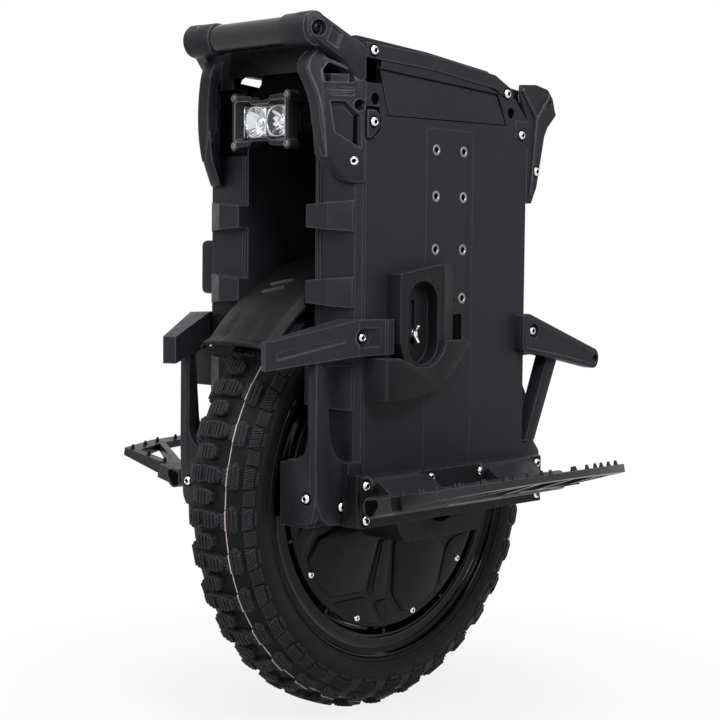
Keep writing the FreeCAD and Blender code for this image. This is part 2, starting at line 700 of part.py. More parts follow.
def hanger_left():
    body = prism_z(hanger_outline(0), HANGER_BOTTOM_Z, BOX_BOTTOM_Z)
    drop = HANGER_BOTTOM_Z - BELLY_DROP
    belly_half = BELLY_HALF - BELLY_CHAMFER
    belly_side = [
        (-BELLY_HALF, HANGER_BOTTOM_Z), (-belly_half, drop),
        (belly_half, drop), (BELLY_HALF, HANGER_BOTTOM_Z),
    ]
    belly = prism_x(belly_side, CHANNEL_HALF, HANGER_X - BELLY_CHAMFER)
    hollow_half = HANGER_HALF_LENGTH - HANGER_WALL
    hollow = block(
        CHANNEL_HALF + HANGER_PLATE, HANGER_X + OVERRUN, -hollow_half, hollow_half,
        HANGER_BOTTOM_Z + HANGER_WALL, PANEL_BOTTOM_Z - HANGER_WALL,
    )
    webs = [
        block(CHANNEL_HALF, HANGER_X, y - HANGER_WALL, y + HANGER_WALL, HANGER_BOTTOM_Z, PANEL_BOTTOM_Z)
        for y in (-BOLT_NEAR, BOLT_NEAR, -BOLT_FAR + HANGER_WALL, BOLT_FAR - HANGER_WALL)
    ]
    boss = rod_x(0, AXLE_Z, HANGER_BOSS_R, CHANNEL_HALF, AXLE_HALF - AXLE_NUT_THICK)
    nut_room = rod_x(0, AXLE_Z, AXLE_NUT_R + BOX_WALL, AXLE_HALF - AXLE_NUT_THICK, HANGER_X + OVERRUN)
    bore = rod_x(0, AXLE_Z, AXLE_R + FIT, 0, HANGER_X)
    rebate = block(
        BOX_OUTER_X, HANGER_X + OVERRUN, -HANGER_FRONT, HANGER_FRONT,
        PANEL_BOTTOM_Z, BOX_BOTTOM_Z + OVERRUN,
    )
    solid = joined([body.cut(hollow), belly, boss] + webs).cut([rebate, nut_room, bore])
    solid = drilled(solid, bracket_seats(), V(-1, 0, 0))
    solid = drilled(solid, foot_seats(), V(-1, 0, 0))
    solid = drilled(solid, nose_seats(-1), V(0, 1, 0))
    return drilled(solid, nose_seats(1), V(0, -1, 0)).removeSplitter()


# Battery boxes
def box_outline(inset):
    inner = CHANNEL_HALF + inset
    outer = BOX_OUTER_X - inset
    half = BOX_HALF_LENGTH - inset
    corner = BOX_CORNER
    return [
        (inner, -half), (outer - corner, -half), (outer, corner - half),
        (outer, half - corner), (outer - corner, half), (inner, half),
    ]


def end_steps():
    """Stepped blocks on the front face of a box, flaring a little towards the outer side."""
    steps = []
    front = BOX_HALF_LENGTH
    for place, height in zip(STEP_PLACE_SHARES, STEP_HEIGHT_SHARES):
        middle = BOX_BOTTOM_Z + place * BOX_HEIGHT
        half = height * BOX_HEIGHT / 2
        face = [
            (CHANNEL_HALF, middle - half), (BOX_OUTER_X - BOX_CORNER, middle - half - STEP_SLANT),
            (BOX_OUTER_X - BOX_CORNER, middle + half + STEP_SLANT), (CHANNEL_HALF, middle + half),
        ]
        slope = [(CHANNEL_HALF, -front), (CHANNEL_HALF, -front - STEP_OUT),
                 ((CHANNEL_HALF + BOX_OUTER_X) / 2, -front - STEP_OUT), (BOX_OUTER_X, -front)]
        tall = prism_z(slope, middle - half - STEP_SLANT, middle + half + STEP_SLANT)
        steps.append(prism_y(face, -front - STEP_OUT, -front).common(tall))
    return steps


def battery_box_left():
    steps = end_steps()
    shell = prism_z(box_outline(0), BOX_BOTTOM_Z, BOX_TOP_Z)
    hollow = prism_z(box_outline(BOX_WALL), BOX_BOTTOM_Z + BOX_WALL, BOX_TOP_Z - BOX_WALL)
    solid = joined([shell] + steps + [to_rear(step) for step in steps]).cut(hollow)
    solid = drilled(solid, tab_seats(), V(-1, 0, 0))
    return solid.cut([insert_room(y, z) for y, z in insert_places()] + [wing_hole()])


def battery_packs():
    room = BOX_WALL + PACK_ROOM
    front = -BOX_HALF_LENGTH + room + BOX_CORNER
    outer = BOX_OUTER_X - room - SCREW_LENGTH
    pack = block(
        CHANNEL_HALF + BOX_WALL, outer, front, -front,
        BOX_BOTTOM_Z + BOX_WALL, BOX_TOP_Z - room,
    )
    return Part.makeCompound(both_sides([pack]))


# Side panels, strips and inserts
def insert_places():
    rows = [INSERT_TOP_Z - share * INSERT_RUN for share in INSERT_ROW_SHARES]
    return [(y, z) for z in rows for y in (-INSERT_COLUMN, INSERT_COLUMN)]


def insert_room(y, z):
    barrel_end = PANEL_X - SCREW_LENGTH - FIT
    barrel = rod_x(y, z, INSERT_BARREL_R + FIT, barrel_end, PANEL_X + OVERRUN)
    flange_seat = PANEL_X - INSERT_SINK - INSERT_FLANGE_THICK
    flange = rod_x(y, z, INSERT_FLANGE_R + FIT, flange_seat, PANEL_X + OVERRUN)
    return barrel.fuse(flange)


def pad_inserts():
    inserts = []
    face = PANEL_X - INSERT_SINK
    for y, z in insert_places():
        barrel = rod_x(y, z, INSERT_BARREL_R, PANEL_X - SCREW_LENGTH, face)
        flange = rod_x(y, z, INSERT_FLANGE_R, face - INSERT_FLANGE_THICK, face)
        bore = rod_x(y, z, INSERT_BORE_R, PANEL_X - SCREW_LENGTH - OVERRUN, PANEL_X)
        inserts.append(joined([barrel, flange]).cut(bore))
    return Part.makeCompound(both_sides(inserts))


def wing_hole():
    return rod_x(-POCKET_CENTRE, WING_Z, WING_SHANK_R + FIT, BOX_OUTER_X - SCREW_LENGTH, PANEL_X + OVERRUN)


def strip_outline(grow):
    half = STRIP_HALF + grow
    return -half, half, PANEL_BOTTOM_Z - grow, BOX_TOP_Z - STRIP_TOP_DROP + grow


def strip_slot():
    top = POCKET_LOW_Z + SLOT_HEIGHT
    return block(BOX_OUTER_X, PANEL_X + OVERRUN, SLOT_WIDTH / 2, SLOT_WIDTH * 3 / 2, POCKET_LOW_Z, top)


def pad_strips():
    strip = block(BOX_OUTER_X, PANEL_X, *strip_outline(0))
    corners = [edge for edge in strip.Edges if edge.BoundBox.XLength > PANEL_THICK / 2]
    strip = strip.makeFillet(PANEL_THICK, corners)
    strip = strip.cut([insert_room(y, z) for y, z in insert_places()] + [strip_slot(), wing_hole()])
    return Part.makeCompound(both_sides([strip]))


def recess_outline():
    return placed(RECESS_SHARES, -PANEL_HALF_LENGTH, 2 * PANEL_HALF_LENGTH, BOX_TOP_Z + SEAM, RECESS_HEIGHT)


def recess_room():
    points = recess_outline()
    grown = prism_x(points, BOX_OUTER_X - OVERRUN, PANEL_X + OVERRUN)
    return grown.makeOffsetShape(SEAM, SEAM / 10)


def tab_outline(grow):
    """Corner tab of a guard, cut on its lower rear corner; drawn for the front."""
    front = -BOX_HALF_LENGTH - grow
    rear = -PANEL_HALF_LENGTH + TAB_LENGTH + grow
    low = TAB_Z - TAB_HEIGHT / 2 - grow
    high = TAB_Z + TAB_HEIGHT / 2 + grow
    return [(front, low), (rear, low + TAB_CORNER), (rear, high), (front, high)]


def side_panel_left():
    half = PANEL_HALF_LENGTH
    outline = [
        (-half, PANEL_BOTTOM_Z), (half, PANEL_BOTTOM_Z), (half, SHOULDER_Z - REAR_CORNER),
        (half - REAR_CORNER, SHOULDER_Z), (-half, SHOULDER_Z),
    ]
    sheet = prism_x(outline, BOX_OUTER_X, PANEL_X)
    tabs = prism_x(tab_outline(SEAM), BOX_OUTER_X - OVERRUN, PANEL_X + OVERRUN)
    strip_room = block(BOX_OUTER_X - OVERRUN, PANEL_X + OVERRUN, *strip_outline(SEAM))
    hole_z = SHOULDER_Z - SHOULDER_RISE / 2
    holes = [
        rod_x(y, hole_z, SHOULDER_HOLE_R, BOX_OUTER_X - OVERRUN, PANEL_X + OVERRUN)
        for y in (SHOULDER_HOLE_R * 2 - half, half - REAR_CORNER - SHOULDER_HOLE_R)
    ]
    tools = [strip_room, recess_room(), tabs, to_rear(tabs), wing_hole()] + holes
    return sheet.cut(tools).removeSplitter()


def recess_panel_left():
    points = recess_outline()
    plate = prism_x(points, PANEL_X - RECESS_THICK, PANEL_X - SEAM)
    top = BOX_TOP_Z + SINK_HEIGHT * 2
    beyond = PANEL_X + OVERRUN
    lean = [(PANEL_X - RECESS_THICK / 3, top), (beyond, top), (beyond, BOX_TOP_Z), (PANEL_X, BOX_TOP_Z)]
    return plate.cut(prism_y(lean, -PANEL_HALF_LENGTH, PANEL_HALF_LENGTH))


# Top deck, rails and controller
def deck_line():
    return placed(DECK_TOP_SHARES, -DECK_FRONT, DECK_LENGTH, DECK_TOP_Z - DECK_FALL, DECK_FALL)


def deck_height(y):
    """Height of the deck's top at a place along its length."""
    line = deck_line()
    for (y0, z0), (y1, z1) in zip(line, line[1:]):
        if y0 <= y <= y1:
            return z0 + (z1 - z0) * (y - y0) / (y1 - y0)
    return line[-1][1]


def deck_slab():
    """Deck seen from the side: its top line, a rear foot down to the boxes, and its underside."""
    upper = deck_line()
    beam_rear = DECK_LEG_DEPTH - DECK_FRONT
    beam = [(-DECK_FRONT, DECK_TOP_Z - DECK_BEAM), (beam_rear, DECK_TOP_Z - DECK_BEAM)]
    under = beam + [(beam_rear, DECK_TOP_Z - DECK_DEPTH)] + [(y, z - DECK_DEPTH) for y, z in upper[1:3]]
    foot_front = SINK_HALF_LENGTH + SEAM
    foot = [
        (DECK_REAR, BOX_TOP_Z), (foot_front, BOX_TOP_Z), (foot_front, SINK_TOP_Z + SEAM),
        (foot_front - DECK_DEPTH, SINK_TOP_Z + SEAM),
    ]
    return prism_x(upper + foot + under[::-1], -DECK_HALF_WIDTH, DECK_HALF_WIDTH)


def deck_hollow():
    roof = [(y, z - DECK_WALL) for y, z in deck_line()[:3]]
    roof[0] = (roof[0][0] + DECK_LEG_DEPTH, roof[0][1])
    floor = [(y, z - DECK_DEPTH) for y, z in roof]
    inner = DECK_HALF_WIDTH - DECK_WALL
    return prism_x(roof + floor[::-1], -inner, inner)


def deck_legs():
    inner = DECK_HALF_WIDTH - DECK_LEG_WIDTH
    rear = -DECK_FRONT + DECK_LEG_DEPTH
    leg = block(inner, DECK_HALF_WIDTH, -DECK_FRONT, rear, BOX_TOP_Z, DECK_TOP_Z - DECK_DEPTH)
    return both_sides([leg])


def top_deck():
    floor = button_floor()
    roof = deck_height(-BUTTON_BACK) - DECK_WALL / 2
    room_r = BUTTON_R + SEAM
    boss = rod_z(0, -BUTTON_BACK, room_r + BUTTON_BOSS_WALL, floor - DECK_WALL, roof)
    button_room = rod_z(0, -BUTTON_BACK, room_r, floor, DECK_TOP_Z + OVERRUN)
    solid = joined([deck_slab().cut(deck_hollow()), boss] + ridges() + deck_legs())
    return solid.cut(button_room)


def ridges():
    bars = []
    first = deck_line()[1][0] + RIDGE_PITCH / 2
    for index in range(RIDGE_COUNT):
        y0 = first + index * RIDGE_PITCH
        y1 = y0 + RIDGE_LENGTH
        z0 = deck_height(y0)
        z1 = deck_height(y1)
        chamfer = RIDGE_HEIGHT
        side = [
            (y0, z0 - DECK_WALL / 2), (y1, z1 - DECK_WALL / 2), (y1, z1),
            (y1 - chamfer, z1 + RIDGE_HEIGHT), (y0 + chamfer, z0 + RIDGE_HEIGHT), (y0, z0),
        ]
        bars.append(prism_x(side, -RIDGE_HALF_WIDTH, RIDGE_HALF_WIDTH))
    return bars


def button_floor():
    return deck_height(-BUTTON_BACK) + BUTTON_PROUD - BUTTON_HEIGHT - BUTTON_TRAVEL - SEAM


def power_button():
    top = deck_height(-BUTTON_BACK) + BUTTON_PROUD
    stud = rod_z(0, -BUTTON_BACK, BUTTON_R, top - BUTTON_HEIGHT, top)
    rims = [edge for edge in stud.Edges if edge.BoundBox.ZMin > top - FIT]
    return stud.makeFillet(BUTTON_PROUD / 2, rims)


def rail_line():
    line = deck_line()
    start = (-PANEL_HALF_LENGTH + SEAM, line[0][1] - RAIL_DEPTH / 2)
    return [start] + [(y, z - RAIL_DEPTH / 3) for y, z in line[1:4]]


def grab_rail_left():
    upper = rail_line()
    lower = [(y, z - RAIL_DEPTH) for y, z in upper]
    rail = prism_x(upper + lower[::-1], DECK_HALF_WIDTH, PANEL_X)
    under = block(
        DECK_HALF_WIDTH - OVERRUN, PANEL_X + OVERRUN, -DECK_LENGTH, DECK_LENGTH,
        BOX_TOP_Z, SHOULDER_Z + SEAM,
    )
    return drilled(rail.cut(under), rail_seats(), V(-1, 0, 0))


def heat_sink():
    w = SINK_HALF_WIDTH
    y = SINK_HALF_LENGTH
    plate_top = SINK_TOP_Z - SINK_FIN_HEIGHT
    shell = block(-w, w, -y, y, BOX_TOP_Z, plate_top)
    inner = w - SINK_WALL
    length = y - SINK_WALL
    hollow = block(-inner, inner, -length, length, BOX_TOP_Z - OVERRUN, plate_top - SINK_WALL)
    pitch = 2 * inner / (SINK_FINS - 1)
    half = SINK_FIN_THICK / 2
    middles = [index * pitch - inner for index in range(SINK_FINS)]
    fins = [block(x - half, x + half, -y, y, plate_top - SINK_WALL / 2, SINK_TOP_Z) for x in middles]
    return joined([shell.cut(hollow)] + fins)


def controller_board():
    half = SINK_HALF_WIDTH - SINK_WALL - BOARD_MARGIN
    length = SINK_HALF_LENGTH - SINK_WALL - BOARD_MARGIN
    board = block(-half, half, -length, length, BOX_TOP_Z, BOX_TOP_Z + BOARD_THICK)
    pitch = 2 * half / CAPACITORS
    cans = [
        rod_z(pitch * (i + 1 / 2) - half, 0, CAPACITOR_R, BOX_TOP_Z, BOX_TOP_Z + CAPACITOR_HEIGHT)
        for i in range(CAPACITORS)
    ]
    return joined([board] + cans)


def charge_port():
    middle = BOX_TOP_Z + PORT_R
    cap = rod_y(0, middle, PORT_R, DECK_REAR, DECK_REAR + PORT_DEPTH)
    rims = [edge for edge in cap.Edges if edge.BoundBox.YMin > DECK_REAR + PORT_DEPTH - FIT]
    return cap.makeChamfer(PORT_DEPTH / 4, rims)


def tail_light():
    half = TAIL_HEIGHT / 2
    low = BOX_TOP_Z + 2 * PORT_R + BOX_WALL
    w = TAIL_HALF_WIDTH
    lamp = block(-w, w, DECK_REAR, DECK_REAR + TAIL_DEPTH, low, low + TAIL_HEIGHT)
    upright = [edge for edge in lamp.Edges if edge.BoundBox.YLength > TAIL_DEPTH / 2]
    return lamp.makeFillet(half / 2, upright)


# Corner guards and bars
def guard_tab():
    return prism_x(tab_outline(0), BOX_OUTER_X, GUARD_X)


def horn_plan():
    """Plan of the plate that wraps the corner and narrows to the horn beside the headlight."""
    front = BOX_HALF_LENGTH
    tip = front + GUARD_REACH
    knee = front + GUARD_REACH / 3
    horn = GUARD_X - HORN_INSET
    return [
        (GUARD_X, -front), (GUARD_X, -knee), (horn + HORN_WIDTH, -tip), (horn, -tip),
        (horn, -tip + HORN_WIDTH / 2), (GUARD_IN_X, -knee), (GUARD_IN_X, -front),
    ]


def guard_plate():
    side = placed(HORN_SHARES, -BOX_HALF_LENGTH, -GUARD_REACH, GUARD_BOTTOM_Z, GUARD_HEIGHT)
    plate = prism_x(side, 0, GUARD_X).common(prism_z(horn_plan(), GUARD_BOTTOM_Z, GUARD_TOP_Z))
    window = placed(WINDOW_SHARES, -BOX_HALF_LENGTH, -GUARD_REACH, GUARD_BOTTOM_Z, GUARD_HEIGHT)
    hole_y = -BOX_HALF_LENGTH - GUARD_HOLE_SHARES[0] * GUARD_REACH
    hole_z = GUARD_BOTTOM_Z + GUARD_HOLE_SHARES[1] * GUARD_HEIGHT
    hole = rod_x(hole_y, hole_z, GUARD_HOLE_R, GUARD_IN_X - OVERRUN, GUARD_X + OVERRUN)
    return plate.cut([prism_x(window, 0, GUARD_X + OVERRUN), hole])


def guard_arm():
    """Arm from the top of the plate up and inwards to the sleeve of the handle bar."""
    back = GUARD_TOP_Z
    end = -PANEL_HALF_LENGTH - SEAM
    side = [
        (end, back), (end, back - ARM_DEPTH), (-BOX_HALF_LENGTH - ARM_DEPTH, back - ARM_DEPTH),
        (-BAR_AHEAD, BAR_Z - SLEEVE_R), (-BAR_AHEAD - SLEEVE_R / 2, BAR_Z), (-BAR_AHEAD, BAR_Z + SLEEVE_R),
        (-BOX_HALF_LENGTH - ARM_DEPTH, back + ARM_DEPTH / 2),
    ]
    tip = -BAR_AHEAD - SLEEVE_R
    inner = SLEEVE_END_X - GUARD_THICK
    plan = [
        (GUARD_X, end), (GUARD_X, -BOX_HALF_LENGTH), (SLEEVE_END_X, -BAR_AHEAD), (SLEEVE_END_X, tip),
        (inner, tip), (inner, -BAR_AHEAD),
        (DECK_HALF_WIDTH + SEAM, -BOX_HALF_LENGTH), (DECK_HALF_WIDTH + SEAM, end),
    ]
    return prism_x(side, 0, GUARD_X).common(prism_z(plan, back - ARM_DEPTH, BAR_Z + SLEEVE_R))


def front_guard_left():
    sleeve = rod_x(-BAR_AHEAD, BAR_Z, SLEEVE_R, BAR_HALF, SLEEVE_END_X)
    solid = joined([guard_plate(), guard_arm(), sleeve, guard_tab()])
    spigot_room = rod_x(-BAR_AHEAD, BAR_Z, BAR_SPIGOT_R + FIT, 0, BAR_HALF + BAR_SPIGOT)
    pocket = rod_x(-BAR_AHEAD, BAR_Z, SLEEVE_POCKET_R, SLEEVE_END_X - SLEEVE_POCKET, GUARD_X)
    solid = solid.cut([spigot_room, pocket])
    solid = drilled(solid, tab_seats()[:1] + guard_seats()[:1], V(-1, 0, 0))
    return drilled(solid, bar_seats(), V(-1, 0, 0))


def handle_bar():
    bar = rod_x(-BAR_AHEAD, BAR_Z, BAR_R, -BAR_HALF, BAR_HALF)
    spigot = rod_x(-BAR_AHEAD, BAR_Z, BAR_SPIGOT_R, -BAR_HALF - BAR_SPIGOT, BAR_HALF + BAR_SPIGOT)
    ends = both_sides([screw_hole(seat, V(-1, 0, 0)) for seat in bar_seats()])
    return joined([bar, spigot]).cut(ends)


def rear_guard_left():
    start = PANEL_HALF_LENGTH + SEAM
    low = BOX_TOP_Z - REAR_GUARD_DROP
    outline = placed(REAR_GUARD_SHARES, start, REAR_GUARD_LENGTH, low, REAR_GUARD_HEIGHT)
    skin = prism_x(outline, BOX_OUTER_X, GUARD_X)
    behind = block(GUARD_IN_X, GUARD_X, BOX_HALF_LENGTH, BOX_HALF_LENGTH + REAR_GUARD_LENGTH, 0, DECK_TOP_Z)
    thick = prism_x(outline, GUARD_IN_X, GUARD_X).common(behind)
    solid = joined([skin, thick, to_rear(guard_tab())])
    solid = drilled(solid, tab_seats()[1:] + guard_seats()[1:], V(-1, 0, 0))
    return drilled(solid, rear_bar_seats(), V(-1, 0, 0))


def rear_bar():
    return rod_x(REAR_BAR_BACK, REAR_BAR_Z, REAR_BAR_R, -GUARD_IN_X, GUARD_IN_X)


# Fenders
def fender_arc(inset, grow, start_deg, end_deg):
    edge_r = TYRE_R + FENDER_GAP - FENDER_EDGE_DROP + grow
    crown_r = TYRE_R + FENDER_GAP + FENDER_WALL + grow - inset
    half = CHANNEL_HALF - inset
    points = [(-half, edge_r), (0, crown_r), (half, edge_r)]
    arc = section_arc(*points)
    chord = section_line(points[2], points[0])
    face = Part.Face(Part.Wire([arc, chord]))
    face.rotate(V(0, 0, AXLE_Z), V(1, 0, 0), start_deg)
    return face.revolve(V(0, 0, AXLE_Z), V(1, 0, 0), end_deg - start_deg)


def fender_shell(extra):
    """A crowned shell turned about the axle, with a flared lip at its end, and what joins it."""
    lip_start = FENDER_FRONT_DEG - FENDER_LIP_DEG
    over = FENDER_LIP_DEG
    edge_r = TYRE_R + FENDER_GAP - FENDER_EDGE_DROP
    wide = CHANNEL_HALF + OVERRUN
    sheet = fender_arc(0, 0, FENDER_BACK_DEG, FENDER_FRONT_DEG)
    lip = fender_arc(0, FENDER_LIP, lip_start, FENDER_FRONT_DEG)
    inside = fender_arc(FENDER_WALL, 0, FENDER_BACK_DEG - over, FENDER_FRONT_DEG + over)
    middle = turned([(-wide, edge_r), (wide, edge_r), (wide, TYRE_R / 2), (-wide, TYRE_R / 2)])
    return joined([sheet, lip] + extra).cut([inside, middle])


def front_fender():
    return fender_shell([])


def rear_fender():
    """The front fender's twin, with an upright wall that closes the channel between the boxes."""
    edge_r = TYRE_R + FENDER_GAP - FENDER_EDGE_DROP
    low = AXLE_Z + math.sqrt(edge_r ** 2 - SPLASH_BACK ** 2)
    front = -SPLASH_BACK
    wall = block(-CHANNEL_HALF, CHANNEL_HALF, front, front + SPLASH_WALL, low, BOX_TOP_Z)
    return to_rear(fender_shell([wall]))


# Bumpers
def bumper_arm():
    """Arm that lies along the panel, then bends inwards and dips to its tip."""
    inner = BUMPER_X - BUMPER_THICK
    plan = [
        (inner, -BUMPER_REAR_END), (BUMPER_X, -BUMPER_REAR_END), (BUMPER_X, -BUMPER_KNEE),
        (BUMPER_TIP_X, -BUMPER_TIP), (BUMPER_TIP_X - BUMPER_THICK, -BUMPER_TIP + BUMPER_THICK / 2),
        (BOX_OUTER_X - BUMPER_THICK, -BUMPER_KNEE), (inner, -BOX_HALF_LENGTH),
    ]
    top = BUMPER_Z + BUMPER_HEIGHT
    low = BUMPER_Z - BUMPER_DIP
    side = [
        (-BUMPER_REAR_END, BUMPER_Z), (-BUMPER_REAR_END, top), (-BUMPER_KNEE, top),
        (-BUMPER_TIP, BUMPER_Z + BUMPER_DIP), (-BUMPER_TIP, low), (-BUMPER_KNEE, BUMPER_Z),
    ]
    return prism_x(side, 0, BUMPER_X).common(prism_z(plan, low, top))


def bumper_strut():
    """Strut from the arm down to a foot that is screwed to the hanger's nose."""
    rear = -STRUT_FRONT + STRUT_WIDTH
    foot_rear = -STRUT_FRONT + FOOT_LENGTH
    foot_z = BOX_BOTTOM_Z + SEAM
    foot_low = foot_z - FOOT_HEIGHT
    side = [
        (-STRUT_FRONT, foot_low), (-STRUT_FRONT, BUMPER_Z), (rear, BUMPER_Z + BUMPER_HEIGHT / 3),
        (rear, foot_z + STRUT_WIDTH / 2), (foot_rear, foot_z), (foot_rear, foot_low),
    ]
    post = block(STRUT_OUTER_X - STRUT_THICK, STRUT_OUTER_X, -STRUT_FRONT, rear, foot_z, BUMPER_Z)
    return [prism_x(side, STRUT_OUTER_X - FOOT_THICK, STRUT_OUTER_X), post]


def rear_arm():
    """Straight arm that runs on past the box and slopes down to its tip."""
    inner = BUMPER_X - BUMPER_THICK
    flange = BOX_OUTER_X - BUMPER_THICK
    strut_end = REAR_STRUT_FOOT + REAR_STRUT_LEAN + REAR_STRUT_HEAD
    plan = [
        (inner, REAR_ARM_START), (BUMPER_X, REAR_ARM_START), (BUMPER_X, REAR_ARM_TIP), (inner, REAR_ARM_TIP),
        (flange, strut_end), (flange, BUMPER_KNEE), (inner, BOX_HALF_LENGTH),
    ]
    top = BUMPER_Z + BUMPER_HEIGHT
    low = BUMPER_Z - REAR_TIP_DROP
    side = [
        (REAR_ARM_START, BUMPER_Z), (REAR_ARM_START, top), (REAR_ARM_START + REAR_ARM_FLAT, top),
        (REAR_ARM_TIP, low + REAR_TIP_HEIGHT), (REAR_ARM_TIP, low), (REAR_ARM_TIP - REAR_TIP_FLAT, low),
        (BUMPER_KNEE, BUMPER_Z),
    ]
    return prism_x(side, 0, BUMPER_X).common(prism_z(plan, low, top))


def rear_strut():
    """Bar that leans back from a shelf on the hanger's foot up into the arm."""
    inner = STRUT_OUTER_X - FOOT_THICK
    foot_z = BOX_BOTTOM_Z + SEAM
    head = REAR_STRUT_FOOT + REAR_STRUT_LEAN
    lean = [
        (REAR_STRUT_FOOT, foot_z - FOOT_THICK), (REAR_STRUT_FOOT, foot_z), (head, BUMPER_Z),
        (head + REAR_STRUT_HEAD, BUMPER_Z), (REAR_STRUT_FOOT + REAR_STRUT_THICK, foot_z),
        (REAR_STRUT_FOOT + REAR_STRUT_THICK, foot_z - FOOT_THICK),
    ]
    plate_front = STRUT_FRONT - FOOT_LENGTH
    plate = block(inner, STRUT_OUTER_X, plate_front, STRUT_FRONT, foot_z - FOOT_HEIGHT, foot_z)
    shelf = block(inner, REAR_STRUT_X, REAR_STRUT_FOOT, STRUT_FRONT, foot_z - FOOT_THICK, foot_z)
    return [prism_x(lean, REAR_STRUT_X - REAR_STRUT_WIDTH, REAR_STRUT_X), plate, shelf]


def fastened(solid, y, seats):
    """A bumper with the scoop round its arm's bolt and the holes of its two screws."""
    x = BUMPER_X - BUMPER_BOLT_SINK
    scoop = rod_x(y, BUMPER_Z + BUMPER_HEIGHT / 2, BUMPER_SCOOP_R, x, BUMPER_X + OVERRUN)
    return drilled(solid.cut(scoop), seats, V(-1, 0, 0))


def bumper_front_left():
    solid = joined([bumper_arm()] + bumper_strut())
    return fastened(solid, -BUMPER_BOLT_BACK, bumper_seats()[:1] + foot_seats()[:1])


def bumper_rear_left():
    solid = joined([rear_arm()] + rear_strut())
    return fastened(solid, BUMPER_BOLT_BACK, bumper_seats()[1:] + foot_seats()[1:])


# Pedal brackets, pins and pedals
def knuckle_side():
    """Wedge that rises from the bracket's plate to the barrel round the hinge pin."""
    low = HINGE_Z - KNUCKLE_R
    top = PANEL_BOTTOM_Z - BRACKET_THICK
    root = BRACKET_X - BRACKET_THICK / 2
    return [
        (root, top), (BRACKET_X + BRACKET_THICK, top), (HINGE_X, HINGE_Z + KNUCKLE_R),
        (HINGE_X, low), (root, low),
    ]


def pedal_bracket_left():
    half = BRACKET_HALF_LENGTH
    plate = block(HANGER_X, BRACKET_X, -half, half, BRACKET_BOTTOM_Z, PANEL_BOTTOM_Z)
    knuckles = []
    for y0, y1 in ((-KNUCKLE_OUTER, -KNUCKLE_INNER), (KNUCKLE_INNER, KNUCKLE_OUTER)):
        knuckles += [prism_y(knuckle_side(), y0, y1), rod_y(HINGE_X, HINGE_Z, KNUCKLE_R, y0, y1)]
    bore = rod_y(HINGE_X, HINGE_Z, PIN_R + FIT, -half, half)
    return drilled(joined([plate] + knuckles).cut(bore), bracket_seats(), V(-1, 0, 0))


def pedal_pins():
    half = PEDAL_HALF_LENGTH - BRACKET_THICK
    return Part.makeCompound(both_sides([rod_y(HINGE_X, HINGE_Z, PIN_R, -half, half)]))


def pedal_plan(inset):
    """Plan of the pedal, bowed along its outer edge; distances are from the hinge axis."""
    half = PEDAL_HALF_LENGTH - inset
    corner = PEDAL_CORNER_REACH - inset
    mid_y = half * 2 / 3
    bow = PEDAL_REACH - inset
    shoulder = (PEDAL_CORNER_REACH + PEDAL_REACH * 2) / 3 - inset
    root = half - PEDAL_FRAME * 2
    inner = PEDAL_INNER + inset
    quarter = [
        (inner, -root), (corner * 2 / 5, -half + PEDAL_FRAME / 2), (corner, -half),
        (shoulder, -mid_y), (bow, -half / 4),
    ]
    return [(HINGE_X + u, y) for u, y in quarter + [(u, -y) for u, y in reversed(quarter)]]


def tilted(shape):
    shape.rotate(V(HINGE_X, 0, HINGE_Z), V(0, 1, 0), -PEDAL_TILT)
    return shape


def pedal_ribs():
    """Slanted ribs across the open middle of the pedal."""
    ribs = []
    pitch = 2 * (PEDAL_HALF_LENGTH - PEDAL_FRAME) / PEDAL_RIBS
    lean = PEDAL_CORNER_REACH / 2
    for index in range(PEDAL_RIBS):
        middle = (index + 1 / 2) * pitch - PEDAL_HALF_LENGTH + PEDAL_FRAME
        side = 1 if middle < 0 else -1
        inner_y = middle - side * lean / 2
        outer_y = middle + side * lean / 2
        plan = [
            (HINGE_X + PEDAL_INNER, inner_y), (HINGE_X + PEDAL_REACH, outer_y),
            (HINGE_X + PEDAL_REACH, outer_y + PEDAL_RIB), (HINGE_X + PEDAL_INNER, inner_y + PEDAL_RIB),
        ]
        ribs.append(prism_z(plan, HINGE_Z - PEDAL_ROOT_THICK, HINGE_Z + PEDAL_ROOT_THICK))
    return ribs


def pedal_wedge():
    half = PEDAL_ROOT_THICK / 2
    side = [
        (HINGE_X + PEDAL_INNER, HINGE_Z - half), (HINGE_X + PEDAL_REACH, HINGE_Z + half - PEDAL_TIP_THICK),
        (HINGE_X + PEDAL_REACH, HINGE_Z + half), (HINGE_X + PEDAL_INNER, HINGE_Z + half),
    ]
    return prism_y(side, -PEDAL_HALF_LENGTH, PEDAL_HALF_LENGTH)


def pedal_lugs():
    lugs = []
    half = PEDAL_ROOT_THICK / 2
    end = KNUCKLE_OUTER + KNUCKLE_GAP
    middle = KNUCKLE_INNER - KNUCKLE_GAP
    reach = HINGE_X + PEDAL_INNER + PEDAL_FRAME
    for y0, y1 in ((-PEDAL_HALF_LENGTH, -end), (-middle, middle), (end, PEDAL_HALF_LENGTH)):
        lugs.append(rod_y(HINGE_X, HINGE_Z, KNUCKLE_R, y0, y1))
        lugs.append(block(HINGE_X, reach, y0, y1, HINGE_Z - half, HINGE_Z + half))
    return lugs


def pedal_left():
    tall = PEDAL_ROOT_THICK
    outer = prism_z(pedal_plan(0), HINGE_Z - tall, HINGE_Z + tall)
    open_middle = prism_z(pedal_plan(PEDAL_FRAME), HINGE_Z - tall, HINGE_Z + tall)
    grid = joined([outer.cut(open_middle)] + [rib.common(outer) for rib in pedal_ribs()])
    solid = joined([grid.common(pedal_wedge())] + pedal_lugs())
    end = PEDAL_HALF_LENGTH - BRACKET_THICK
    return tilted(solid.cut(rod_y(HINGE_X, HINGE_Z, PIN_R + FIT, -end, end)))


